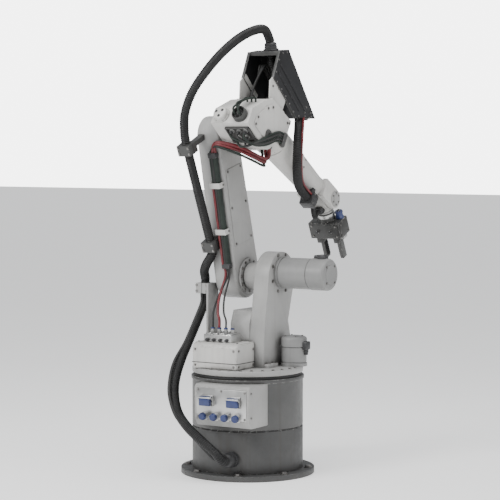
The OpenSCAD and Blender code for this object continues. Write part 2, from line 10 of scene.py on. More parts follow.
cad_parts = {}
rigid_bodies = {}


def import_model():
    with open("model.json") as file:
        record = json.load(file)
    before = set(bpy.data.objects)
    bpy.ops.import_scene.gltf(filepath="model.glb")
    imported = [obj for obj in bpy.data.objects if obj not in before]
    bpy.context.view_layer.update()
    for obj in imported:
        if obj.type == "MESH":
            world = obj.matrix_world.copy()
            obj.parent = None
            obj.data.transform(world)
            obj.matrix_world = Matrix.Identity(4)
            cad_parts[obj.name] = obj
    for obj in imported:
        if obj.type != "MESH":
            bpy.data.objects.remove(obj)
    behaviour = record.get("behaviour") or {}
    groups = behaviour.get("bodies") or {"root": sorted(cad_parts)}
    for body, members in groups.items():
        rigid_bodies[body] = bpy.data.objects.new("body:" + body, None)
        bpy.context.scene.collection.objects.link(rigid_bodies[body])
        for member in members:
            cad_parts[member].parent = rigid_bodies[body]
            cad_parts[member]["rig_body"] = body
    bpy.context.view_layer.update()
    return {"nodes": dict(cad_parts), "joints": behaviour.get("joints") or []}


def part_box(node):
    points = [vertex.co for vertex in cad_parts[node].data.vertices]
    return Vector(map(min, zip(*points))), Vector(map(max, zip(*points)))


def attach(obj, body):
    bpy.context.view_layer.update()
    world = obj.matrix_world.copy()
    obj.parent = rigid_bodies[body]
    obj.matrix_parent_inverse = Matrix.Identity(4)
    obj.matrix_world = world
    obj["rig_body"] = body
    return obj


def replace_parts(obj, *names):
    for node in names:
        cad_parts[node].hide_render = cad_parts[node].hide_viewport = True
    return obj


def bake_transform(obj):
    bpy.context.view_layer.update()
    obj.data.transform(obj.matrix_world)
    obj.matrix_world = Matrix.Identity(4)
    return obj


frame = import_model()

# Frames of the moving arms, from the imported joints
joints = {j["name"]: j for j in frame["joints"]}
shoulder = Vector(joints["shoulder_swing"]["pos_m"])
elbow = Vector(joints["elbow_swing"]["pos_m"])
wrist = Vector(joints["wrist_bend"]["pos_m"])
forearm_way = Vector(joints["forearm_roll"]["axis"])
lean = math.atan2(shoulder.x - elbow.x, elbow.z - shoulder.z)
pitch = math.atan2(-forearm_way.z, forearm_way.x)
WORLD = Matrix.Identity(4)
LOWER = Matrix.Translation((shoulder.x, 0, shoulder.z)) @ Matrix.Rotation(-lean, 4, "Y")
UPPER = Matrix.Translation((elbow.x, wrist.y, elbow.z)) @ Matrix.Rotation(pitch, 4, "Y")
tool_way = Vector(joints["tool_roll"]["axis"])
TOOL = Matrix.Translation(wrist) @ Matrix.Rotation(-math.atan2(tool_way.x, -tool_way.z), 4, "Y")

# Sizes shared with the solids, in metres
BASE_R = 0.257
HOSE_R = 0.022
WRIST_HOSE_R = 0.012
CABLE_R = 0.009
lower_len = math.hypot(shoulder.x - elbow.x, elbow.z - shoulder.z)
upper_len = (wrist - elbow).xz.dot(forearm_way.xz)
elbow_offset = (UPPER.inverted() @ wrist).z
arm_y0, arm_y1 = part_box("lower_arm_beam")[0].y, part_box("lower_arm_beam")[1].y
deck_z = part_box("turntable")[1].z

# Camera at the photograph's viewing angle, framed on the arm
CAMERA_PLACE = Vector((-7.46, -4.66, 1.55))
CAMERA_AIM = Vector((0.02, 0.0, 1.03))
CAMERA_ANGLE = math.radians(14.97)


def place_camera():
    data = bpy.data.cameras.new("photo_camera")
    data.sensor_fit = "HORIZONTAL"
    data.angle = CAMERA_ANGLE
    data.clip_end = 100
    camera = bpy.data.objects.new("photo_camera", data)
    camera.location = CAMERA_PLACE
    camera.rotation_euler = (CAMERA_AIM - CAMERA_PLACE).to_track_quat("-Z", "Y").to_euler()
    bpy.context.scene.collection.objects.link(camera)
    bpy.context.scene.camera = camera


# Materials

# Reach of the ambient-occlusion mask that paints shade into the hollows
SHADE_REACH = 0.035
STREAK_SCALE = (46, 46, 1.6)
DULL_GLOSS = 0.3


def add_node(mat, kind, links=(), **settings):
    """A shader node with its sockets set by name: a value sets the socket, an output socket is linked to it."""
    node = mat.node_tree.nodes.new(kind)
    for key, value in settings.items():
        setattr(node, key, value)
    for socket, value in links:
        target = node.inputs[socket]
        if isinstance(value, bpy.types.NodeSocket):
            mat.node_tree.links.new(value, target)
        else:
            target.default_value = value
    return node


def ramp(mat, factor, low, high, invert=False):
    """A factor of 0 below low and 1 above high, or the other way round."""
    ends = (1, 0) if invert else (0, 1)
    node = add_node(mat, "ShaderNodeMapRange", [("Value", factor), ("From Min", low), ("From Max", high),
                                                ("To Min", ends[0]), ("To Max", ends[1])])
    return node.outputs["Result"]


def times(mat, a, b):
    return add_node(mat, "ShaderNodeMath", [(0, a), (1, b)], operation="MULTIPLY").outputs[0]


def mixed(mat, factor, a, b):
    """Colour a where factor is 0, colour b where it is 1."""
    node = add_node(mat, "ShaderNodeMix", data_type="RGBA")
    for socket, value in ((node.inputs[0], factor), (node.inputs[6], a), (node.inputs[7], b)):
        if isinstance(value, bpy.types.NodeSocket):
            mat.node_tree.links.new(value, socket)
        else:
            socket.default_value = (*value, 1) if isinstance(value, tuple) else value
    return node.outputs[2]


def noise(mat, place, scale, detail=4.0, roughness=0.55, stretch=(1, 1, 1)):
    if stretch != (1, 1, 1):
        place = add_node(mat, "ShaderNodeMapping", [("Vector", place), ("Scale", stretch)]).outputs[0]
    node = add_node(mat, "ShaderNodeTexNoise", [("Vector", place), ("Scale", scale), ("Detail", detail),
                                                ("Roughness", roughness)])
    return node.outputs["Fac"]


def finish(name, colour, tone, rough=0.5, metallic=0.0, mottle=5.0, streak=0.0, hollow_shade_and_soil=0.0,
           soil_and_shade_colour=(0.05, 0.045, 0.04), wear=0.0, wear_colour=(0.35, 0.35, 0.34), grain=350.0,
           grain_depth=0.0002, coat=0.0, brushed=False):
    """A surface with mottled colour, streaks that run down, painted shade with some soiling in its corners, worn edges
    and a fine grain.
    """
    mat = bpy.data.materials.new(name)
    mat.use_nodes = True
    shader = mat.node_tree.nodes["Principled BSDF"]
    place = add_node(mat, "ShaderNodeTexCoord").outputs["Object"]
    blotch = noise(mat, place, mottle)
    result = mixed(mat, ramp(mat, blotch, 0.35, 0.68), colour, tone)
    if streak:
        runs = noise(mat, place, 1.0, 5.0, 0.6, STREAK_SCALE)
        result = mixed(mat, times(mat, ramp(mat, runs, 0.5, 0.72), streak), result, soil_and_shade_colour)
    # Painted shade, partly soiling: an ambient-occlusion mask, broken into noise patches, darkens hollows and corners
    # towards the soiling colour. Where that colour is lighter than the finish, as on the black plastics, it tints the
    # hollows as dust.
    if hollow_shade_and_soil:
        corner = add_node(mat, "ShaderNodeAmbientOcclusion", [("Distance", SHADE_REACH)], samples=6).outputs["AO"]
        patches = ramp(mat, noise(mat, place, 22.0, 5.0), 0.3, 0.7)
        hidden = ramp(mat, corner, 0.35, 0.95, invert=True)
        shade_and_soil_mix = times(mat, times(mat, hidden, hollow_shade_and_soil), patches)
        result = mixed(mat, shade_and_soil_mix, result, soil_and_shade_colour)
    if wear:
        edge = add_node(mat, "ShaderNodeAttribute", attribute_name="edge_wear").outputs["Fac"]
        chips = ramp(mat, noise(mat, place, 60.0, 6.0, 0.7), 0.5, 0.62)
        result = mixed(mat, times(mat, times(mat, edge, chips), wear), result, wear_colour)
    mat.node_tree.links.new(result, shader.inputs["Base Color"])
    shade = ramp(mat, noise(mat, place, 28.0, 5.0), 0.2, 0.8)
    spread = add_node(mat, "ShaderNodeMapRange", [("Value", shade), ("To Min", rough - 0.09),
                                                  ("To Max", rough + 0.1)])
    mat.node_tree.links.new(spread.outputs["Result"], shader.inputs["Roughness"])
    shader.inputs["Metallic"].default_value = metallic
    shader.inputs["Coat Weight"].default_value = coat
    shader.inputs["Coat Roughness"].default_value = 0.2
    fine = noise(mat, place, grain, 3.0, 0.5, (1, 1, 0.05) if brushed else (1, 1, 1))
    bump = add_node(mat, "ShaderNodeBump", [("Height", fine), ("Distance", grain_depth), ("Strength", 1.0)])
    mat.node_tree.links.new(bump.outputs["Normal"], shader.inputs["Normal"])
    return mat


# The hollow amounts below paint shade, with some soiling, into the corners of each finish.
pedestal_paint = finish("pedestal_paint", (0.064, 0.064, 0.063), (0.044, 0.044, 0.044), 0.5, streak=0.55, hollow_shade_and_soil=0.5,
                        wear=0.6, grain=260, grain_depth=0.0004)
base_paint = finish("base_paint", (0.078, 0.078, 0.076), (0.056, 0.056, 0.055), 0.45, streak=0.5, hollow_shade_and_soil=0.5, wear=0.6,
                    grain=260, grain_depth=0.0004)
arm_paint = finish("arm_paint", (0.36, 0.357, 0.348), (0.3, 0.298, 0.29), 0.42, streak=0.1, hollow_shade_and_soil=0.65, wear=0.5,
                   wear_colour=(0.2, 0.19, 0.18), grain=240, grain_depth=0.00035)
white_cover = finish("white_cover", (0.57, 0.56, 0.535), (0.47, 0.463, 0.445), 0.38, streak=0.1, hollow_shade_and_soil=0.65, wear=0.5,
                     wear_colour=(0.25, 0.24, 0.22), grain=240, grain_depth=0.0003)
motor_paint = finish("motor_paint", (0.25, 0.25, 0.246), (0.2, 0.2, 0.197), 0.45, streak=0.1, hollow_shade_and_soil=0.6, wear=0.5,
                     grain=300, grain_depth=0.0003)
dark_metal = finish("dark_metal", (0.05, 0.05, 0.048), (0.03, 0.03, 0.029), 0.42, hollow_shade_and_soil=0.2, wear=0.7,
                    wear_colour=(0.28, 0.27, 0.26), grain=420, grain_depth=0.0001)
bare_metal = finish("bare_metal", (0.58, 0.58, 0.57), (0.44, 0.44, 0.43), 0.33, 0.9, mottle=9, hollow_shade_and_soil=0.5, grain=500,
                    grain_depth=0.00008, brushed=True)
screw_steel = finish("screw_steel", (0.3, 0.29, 0.28), (0.17, 0.165, 0.16), 0.36, 0.9, mottle=40, hollow_shade_and_soil=0.4, grain=600,
                     grain_depth=0.00005)
hood_sheet = finish("hood_sheet", (0.0095, 0.0095, 0.0105), (0.018, 0.018, 0.0195), 0.55, mottle=7, wear=0.5,
                    wear_colour=(0.1, 0.1, 0.1), grain=500, grain_depth=0.00015)
hose_plastic = finish("hose_plastic", (0.0085, 0.0085, 0.009), (0.017, 0.017, 0.0175), 0.45, mottle=14, hollow_shade_and_soil=0.35,
                      soil_and_shade_colour=(0.09, 0.085, 0.075), grain=700, grain_depth=0.00008)
black_plastic = finish("black_plastic", (0.02, 0.02, 0.021), (0.034, 0.034, 0.036), 0.48, mottle=12, hollow_shade_and_soil=0.3,
                       soil_and_shade_colour=(0.08, 0.075, 0.07), wear=0.4, wear_colour=(0.12, 0.12, 0.12), grain=600,
                       grain_depth=0.0001)
harness_sheath = finish("harness_sheath", (0.013, 0.019, 0.0155), (0.023, 0.032, 0.026), 0.55, mottle=20, grain=900,
                        grain_depth=0.0002)
black_rubber = finish("black_rubber", (0.012, 0.012, 0.012), (0.025, 0.024, 0.023), 0.6, mottle=14, grain=600,
                      grain_depth=0.0001)
blue_plastic = finish("blue_plastic", (0.018, 0.035, 0.14), (0.012, 0.02, 0.08), 0.32, mottle=20, hollow_shade_and_soil=0.3, coat=0.2,
                      grain=600, grain_depth=0.00006)
red_cable = finish("red_cable", (0.165, 0.015, 0.02), (0.09, 0.01, 0.013), 0.42, mottle=30, hollow_shade_and_soil=0.25, grain=700,
                   grain_depth=0.00006)
for dull in (hood_sheet, hose_plastic, harness_sheath):
    dull.node_tree.nodes["Principled BSDF"].inputs["Specular IOR Level"].default_value = DULL_GLOSS

# Meshes


def piece(name, bm, material, body, smooth=40.0):
    """The mesh as an object at the origin that rides on a body and takes its finish from a slot."""
    bmesh.ops.recalc_face_normals(bm, faces=bm.faces)
    mesh = bpy.data.meshes.new(name)
    bm.to_mesh(mesh)
    bm.free()
    return dress(name, mesh, material, body, smooth)


def dress(name, mesh, material, body, smooth=40.0):
    mesh.materials.clear()
    mesh.materials.append(material)
    for face in mesh.polygons:
        face.use_smooth = True
    if smooth:
        mesh.set_sharp_from_angle(angle=math.radians(smooth))
    obj = bpy.data.objects.new(name, mesh)
    bpy.context.scene.collection.objects.link(obj)
    if body:
        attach(obj, body)
    return obj


def body_of(node):
    return frame["nodes"][node]["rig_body"]


def round_edges(bm, width, segments=2, angle=28.0):
    """Rounds the sharp edges, and marks the rounded faces so that the paint can wear there."""
    layer = bm.faces.layers.float.get("edge_wear") or bm.faces.layers.float.new("edge_wear")
    sharp = [e for e in bm.edges if len(e.link_faces) == 2 and e.calc_face_angle(0) > math.radians(angle)]
    made = bmesh.ops.bevel(bm, geom=sharp, offset=width, segments=segments, profile=0.5, affect="EDGES",
                           clamp_overlap=True)
    for face in made["faces"]:
        face[layer] = 1.0


def rounded(node, material, width, segments=2):
    """A copy of a CAD node with its sharp edges rounded, which stands for that node."""
    bm = bmesh.new()
    bm.from_mesh(frame["nodes"][node].data)
    bmesh.ops.remove_doubles(bm, verts=bm.verts, dist=1e-5)
    bmesh.ops.dissolve_limit(bm, angle_limit=math.radians(0.5), verts=bm.verts, edges=bm.edges)
    round_edges(bm, width, segments)
    obj = piece(f"{node}_rounded", bm, material, body_of(node))
    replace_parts(obj, node)
    return obj


def add_box(bm, place, low, high, width=0.0, segments=2):
    """A box from its low corner to its high corner in a local frame, with rounded edges."""
    part = bmesh.new()
    bmesh.ops.create_cube(part, size=1.0)
    low, high = Vector(low), Vector(high)
    for v in part.verts:
        v.co = Vector(((high[k] + low[k]) / 2 + v.co[k] * (high[k] - low[k]) for k in range(3)))
    join(bm, part, place, width, segments)


def add_prism(bm, place, outline, y0, y1, width=0.0, segments=2):
    """A plate whose outline is drawn in the local X-Z plane, from y0 to y1."""
    part = bmesh.new()
    near = [part.verts.new((x, y0, z)) for x, z in outline]
    far = [part.verts.new((x, y1, z)) for x, z in outline]
    part.faces.new(near)
    part.faces.new(far[::-1])
    for k in range(len(outline)):
        m = (k + 1) % len(outline)
        part.faces.new((near[k], far[k], far[m], near[m]))
    join(bm, part, place, width, segments)


def add_lathe(bm, place, profile, sides=48):
    """A turned solid about the local Z axis, from (radius, height) pairs that start and end on the axis."""
    part = bmesh.new()
    rings = []
    for radius, height in profile:
        if radius < 1e-6:
            rings.append([part.verts.new((0, 0, height))])
        else:
            rings.append([part.verts.new((radius * math.cos(a), radius * math.sin(a), height))
                          for a in (2 * math.pi * k / sides for k in range(sides))])
    for low, high in zip(rings, rings[1:]):
        for k in range(sides):
            m = (k + 1) % sides
            corners = [low[k % len(low)], low[m % len(low)], high[m % len(high)], high[k % len(high)]]
            part.faces.new(list(dict.fromkeys(corners)))
    join(bm, part, place)


def add_disc(bm, place, radius, low, high, sides=24):
    """A plain round or hexagonal disc about the local Z axis."""
    add_lathe(bm, place, [(0, low), (radius, low), (radius, high), (0, high)], sides)


def join(bm, part, place, width=0.0, segments=2):
    """Puts a loose shape into a piece's mesh, in its place and with its edges rounded."""
    bmesh.ops.recalc_face_normals(part, faces=part.faces)
    layer = part.faces.layers.float.new("edge_wear")
    if width:
        round_edges(part, width, segments)
    bmesh.ops.transform(part, matrix=place, verts=part.verts)
    target = bm.faces.layers.float.get("edge_wear") or bm.faces.layers.float.new("edge_wear")
    copies = {v: bm.verts.new(v.co) for v in part.verts}
    for face in part.faces:
        made = bm.faces.new([copies[v] for v in face.verts])
        made[target] = face[layer]
    part.free()


def facing(place, way):
    """A frame at a place whose Z axis looks along a direction."""
    return Matrix.Translation(place) @ Vector(way).to_track_quat("Z", "Y").to_matrix().to_4x4()


# Geometry node trees


def new_tree(name, inputs):
    """A geometry node tree with its named inputs, its group input and its group output."""
    tree = bpy.data.node_groups.new(name, "GeometryNodeTree")
    tree.interface.new_socket("Geometry", in_out="INPUT", socket_type="NodeSocketGeometry")
    for label, kind in inputs:
        tree.interface.new_socket(label, in_out="INPUT", socket_type=f"NodeSocket{kind}")
    tree.interface.new_socket("Geometry", in_out="OUTPUT", socket_type="NodeSocketGeometry")
    return tree, tree.nodes.new("NodeGroupInput"), tree.nodes.new("NodeGroupOutput")


def tree_node(tree, kind, links=(), **settings):
    node = tree.nodes.new(kind)
    for key, value in settings.items():
        setattr(node, key, value)
    for socket, value in links:
        if isinstance(value, bpy.types.NodeSocket):
            tree.links.new(value, node.inputs[socket])
        else:
            node.inputs[socket].default_value = value
    return node


def close_tree(tree, result, given, out):
    """Ends a tree in a plain mesh with its material."""
    real = tree_node(tree, "GeometryNodeRealizeInstances", [("Geometry", result)])
    coated = tree_node(tree, "GeometryNodeSetMaterial", [("Geometry", real.outputs[0]),
                                                         ("Material", given.outputs["Material"])])
    tree.links.new(coated.outputs[0], out.inputs[0])
    return tree


def corrugated_tree():
    """A hose along a curve whose radius rises and falls with each rib."""
    tree, given, out = new_tree("corrugated_hose", [
        ("Hose Radius", "Float"), ("Rib Pitch", "Float"), ("Rib Depth", "Float"), ("Sides", "Int"),
        ("Material", "Material")])
    step = tree_node(tree, "ShaderNodeMath", [(0, given.outputs["Rib Pitch"]), (1, 6.0)], operation="DIVIDE")
    even = tree_node(tree, "GeometryNodeResampleCurve", [("Curve", given.outputs["Geometry"]),
                                                         ("Length", step.outputs[0])], mode="LENGTH")
    along = tree_node(tree, "GeometryNodeSplineParameter")
    turns = tree_node(tree, "ShaderNodeMath", [(0, along.outputs["Length"]), (1, given.outputs["Rib Pitch"])],
                      operation="DIVIDE")
    phase = tree_node(tree, "ShaderNodeMath", [(0, turns.outputs[0]), (1, 2 * math.pi)], operation="MULTIPLY")
    wave = tree_node(tree, "ShaderNodeMath", [(0, phase.outputs[0])], operation="COSINE")
    lift = tree_node(tree, "ShaderNodeMath", [(0, wave.outputs[0]), (1, 0.5), (2, -0.5)], operation="MULTIPLY_ADD")
    radius = tree_node(tree, "ShaderNodeMath", [(0, lift.outputs[0]), (1, given.outputs["Rib Depth"]),
                                                (2, given.outputs["Hose Radius"])], operation="MULTIPLY_ADD")
    ring = tree_node(tree, "GeometryNodeCurvePrimitiveCircle", [("Resolution", given.outputs["Sides"]),
                                                                ("Radius", 1.0)])
    tube = tree_node(tree, "GeometryNodeCurveToMesh", [
        ("Curve", even.outputs[0]), ("Profile Curve", ring.outputs[0]), ("Scale", radius.outputs[0]),
        ("Fill Caps", True)])
    return close_tree(tree, tube.outputs[0], given, out)


def screw_tree():
    """A cap screw with its socket on each point, turned to the point's way and sized by its head."""
    tree, given, out = new_tree("cap_screws", [
        ("Sides", "Int"), ("Head Height", "Float"), ("Socket Radius", "Float"), ("Material", "Material")])
    way = tree_node(tree, "GeometryNodeInputNamedAttribute", [("Name", "way")], data_type="FLOAT_VECTOR")
    head = tree_node(tree, "GeometryNodeInputNamedAttribute", [("Name", "head")], data_type="FLOAT")
    turn = tree_node(tree, "FunctionNodeAlignRotationToVector", [("Vector", way.outputs["Attribute"])], axis="Z")

    def disc(radius, depth, lift, sides):
        shape = tree_node(tree, "GeometryNodeMeshCylinder", [
            ("Vertices", sides), ("Radius", radius), ("Depth", depth)], fill_type="NGON")
        return tree_node(tree, "GeometryNodeTransform", [("Geometry", shape.outputs["Mesh"]),
                                                         ("Translation", lift)]).outputs[0]

    half = tree_node(tree, "ShaderNodeMath", [(0, given.outputs["Head Height"]), (1, 0.5)], operation="MULTIPLY")
    lift = tree_node(tree, "ShaderNodeCombineXYZ", [("Z", half.outputs[0])])
    top = tree_node(tree, "ShaderNodeCombineXYZ", [("Z", given.outputs["Head Height"])])
    collar = disc(1.35, 0.24, (0, 0, 0.12), 16)
    round_head = disc(1.0, given.outputs["Head Height"], lift.outputs[0], given.outputs["Sides"])
    crown = disc(0.84, 0.14, top.outputs[0], given.outputs["Sides"])
    socket = disc(given.outputs["Socket Radius"], 0.18, top.outputs[0], 6)
    both = tree_node(tree, "GeometryNodeJoinGeometry")
    for shape in (round_head, collar, crown, socket):
        tree.links.new(shape, both.inputs[0])
    many = tree_node(tree, "GeometryNodeInstanceOnPoints", [
        ("Points", given.outputs["Geometry"]), ("Instance", both.outputs[0]), ("Rotation", turn.outputs[0]),
        ("Scale", head.outputs["Attribute"])])
    return close_tree(tree, many.outputs[0], given, out)


def grown(tree, mesh_or_curve, values, name):
    """The plain mesh that a tree makes of a starting shape, with the tree's inputs set by identifier."""
    holder = bpy.data.objects.new(f"{name}_start", mesh_or_curve)
    bpy.context.scene.collection.objects.link(holder)
    modifier = holder.modifiers.new("grow", "NODES")
    modifier.node_group = tree
    for item in tree.interface.items_tree:
        if item.in_out == "INPUT" and item.name in values:
            modifier[item.identifier] = values[item.name]
    bpy.context.view_layer.update()
    done = holder.evaluated_get(bpy.context.evaluated_depsgraph_get())
    mesh = bpy.data.meshes.new_from_object(done)
    mesh.name = name
    bpy.data.objects.remove(holder)
    return mesh


hose_tree = corrugated_tree()
screws_tree = screw_tree()
screw_places = {}


# Each kind of screw: sides of its head, height of its head and radius of its socket, over the head's radius
SCREW_KINDS = {"cap": (14, 0.8, 0.5), "hex": (6, 0.65, 0.01), "rivet": (12, 0.3, 0.01)}


def screw(body, place, way, head, kind="cap"):
    """Notes a screw to be made for a body: where its head sits, which way it looks and its head's radius."""
    screw_places.setdefault((body, kind), []).append((Vector(place), Vector(way).normalized(), head))


def screw_ring(body, place, radius, count, head, start=0.0, kind="cap", skip=()):
    """Screws on a circle in a frame whose Z axis they look along, apart from those inside the given boxes."""
    way = place.to_3x3() @ Vector((0, 0, 1))
    for k in range(count):
        a = start + 2 * math.pi * k / count
        spot = place @ Vector((radius * math.cos(a), radius * math.sin(a), 0))
        if not any(low.x - head < spot.x < high.x + head and low.y - head < spot.y < high.y + head
                   for low, high in skip):
            screw(body, spot, way, head, kind)


def screw_grid(body, xs, ys, zs, way, head, kind="cap", place=WORLD):
    """Screws at every crossing of the given places in a frame, which all look the same way."""
    for spot in product(xs, ys, zs):
        screw(body, place @ Vector(spot), place.to_3x3() @ Vector(way), head, kind)


def make_screws():
    for (body, kind), places in screw_places.items():
        points = bpy.data.meshes.new(f"{body}_{kind}_points")
        points.from_pydata([p for p, _, _ in places], [], [])
        points.attributes.new("way", "FLOAT_VECTOR", "POINT")
        points.attributes.new("head", "FLOAT", "POINT")
        points.attributes["way"].data.foreach_set("vector", [c for _, way, _ in places for c in way])
        points.attributes["head"].data.foreach_set("value", [head for _, _, head in places])
        sides, height, socket = SCREW_KINDS[kind]
        mesh = grown(screws_tree, points, {"Sides": sides, "Head Height": height, "Socket Radius": socket,
                                           "Material": screw_steel}, f"{body}_{kind}_screws")
        dress(f"{body}_{kind}_screws", mesh, screw_steel, body)


# Hoses


def smooth_route(points, steps=8):
    """Points on the smooth curve through the given points, as the solids have it."""
    route = []
    for i in range(len(points) - 1):
        a, b = points[max(i - 1, 0)], points[i]
        c, d = points[i + 1], points[min(i + 2, len(points) - 1)]
        for k in range(steps):
            t = k / steps
            route.append(b * (2 * t**3 - 3 * t**2 + 1) + (c - a) / 2 * (t**3 - 2 * t**2 + t)
                         + c * (3 * t**2 - 2 * t**3) + (d - b) / 2 * (t**3 - t**2))
    route.append(points[-1])
    return route


def route_curve(name, route):
    curve = bpy.data.curves.new(name, "CURVE")
    curve.dimensions = "3D"
    spline = curve.splines.new("POLY")
    spline.points.add(len(route) - 1)
    for point, place in zip(spline.points, route):
        point.co = (*place, 1)
    return curve


def hose_mesh(name, points, radius, material, pitch, depth, sides=20):
    curve = route_curve(name, smooth_route([Vector(p) for p in points]))
    return grown(hose_tree, curve, {"Hose Radius": radius, "Rib Pitch": pitch, "Rib Depth": depth, "Sides": sides,
                                    "Material": material}, name)


def corrugated(name, route, radius, body=None):
    """A ribbed dress hose along a route."""
    mesh = hose_mesh(name, route, radius, hose_plastic, radius * RIB_PITCH, radius * RIB_DEPTH)
    return dress(name, mesh, hose_plastic, body, 0)


def cable(name, route, radius, material, body=None, sides=14, step=0.01):
    """A smooth cable along a route."""
    return dress(name, hose_mesh(name, route, radius, material, step, 0.0, sides), material, body, 0)


def lower_at(x, y, s):
    return LOWER @ Vector((x, y, s))


def upper_at(x, y, z):
    return UPPER @ Vector((x, y, z))


def beside_base(angle, out, z):
    a = math.radians(angle)
    return Vector((-(BASE_R + out) * math.cos(a), (BASE_R + out) * math.sin(a), z))


def by_shoulder(x, y, z):
    return Vector((shoulder.x + x, y, shoulder.z + z))


def by_elbow(x, y, z):
    return Vector((elbow.x + x, y, elbow.z + z))


# Clamps and glands that hold the hoses, as in the solids
BLOCK = 3 * HOSE_R
BLOCK_H = 0.05
SEAM_OUT = 0.0006
SEAM_Z = 0.462
COLUMN_TOP = 0.225
GLAND_LEN = 0.046
gland = Vector((-BASE_R - GLAND_LEN, -0.072, 0.095))
post_low, post_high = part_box("hose_bracket")
turret_hose = Vector(((post_low.x + post_high.x) / 2, post_high.y - BLOCK / 2, post_high.z - BLOCK_H / 2))
RIB_PITCH, RIB_DEPTH = 0.4, 0.15
run_y = arm_y0 + 0.09
run_low, run_high = Vector((-0.136, 0.19)), Vector((-0.216, lower_len - 0.008))
run_way = (run_high - run_low).normalized()

# Rear edge of the lower arm and the cable trunk on it
LOWER_R1, LOWER_R2 = 0.106, 0.088
taper = math.asin((LOWER_R1 - LOWER_R2) / lower_len)
REAR = (LOWER @ Matrix.Translation((-LOWER_R1 * math.cos(taper), 0, LOWER_R1 * math.sin(taper)))
        @ Matrix.Rotation(taper, 4, "Y"))
TRUNK_W, TRUNK_T = 0.046, 0.034
trunk_y = arm_y0 + 0.006
trunk_s0, trunk_s1 = 0.07, lower_len - 0.058


def run_end(p, h):
    return lower_at(p.x + h * run_way.x, run_y, p.y + h * run_way.y)


HOOD = [(-0.072, 0.263), (-0.086, 0.396), (-0.023, 0.447), (0.347, 0.302), (0.194, 0.21)]
HOOD_W = 0.176
HOOD_T = 0.005
hood_points = [Vector(p) for p in HOOD]
roof_way = (hood_points[2] - hood_points[1]).normalized()
roof_up = Vector((-roof_way.y, roof_way.x))
roof_gland = hood_points[1] + 0.8 * (hood_points[2] - hood_points[1])
ROOF_GLAND_LEN = 0.038
belly_gland = Vector((0.272, -HOOD_W / 2 + HOOD_T + BLOCK / 2, 0.286))
forearm_hold = Vector((upper_len - 0.165, -0.036, elbow_offset - 0.1))
WRIST_CLAMP_OUT = 0.072
WRIST_CLAMP_LOW = 0.038


def on_hold(share, y, z):
    return upper_at(belly_gland.x + share * (forearm_hold.x - belly_gland.x), y, forearm_hold.z + z)


def above_seam(place):
    """The point at the seam's height, straight above or below a given point."""
    return Vector((place.x, place.y, SEAM_Z))


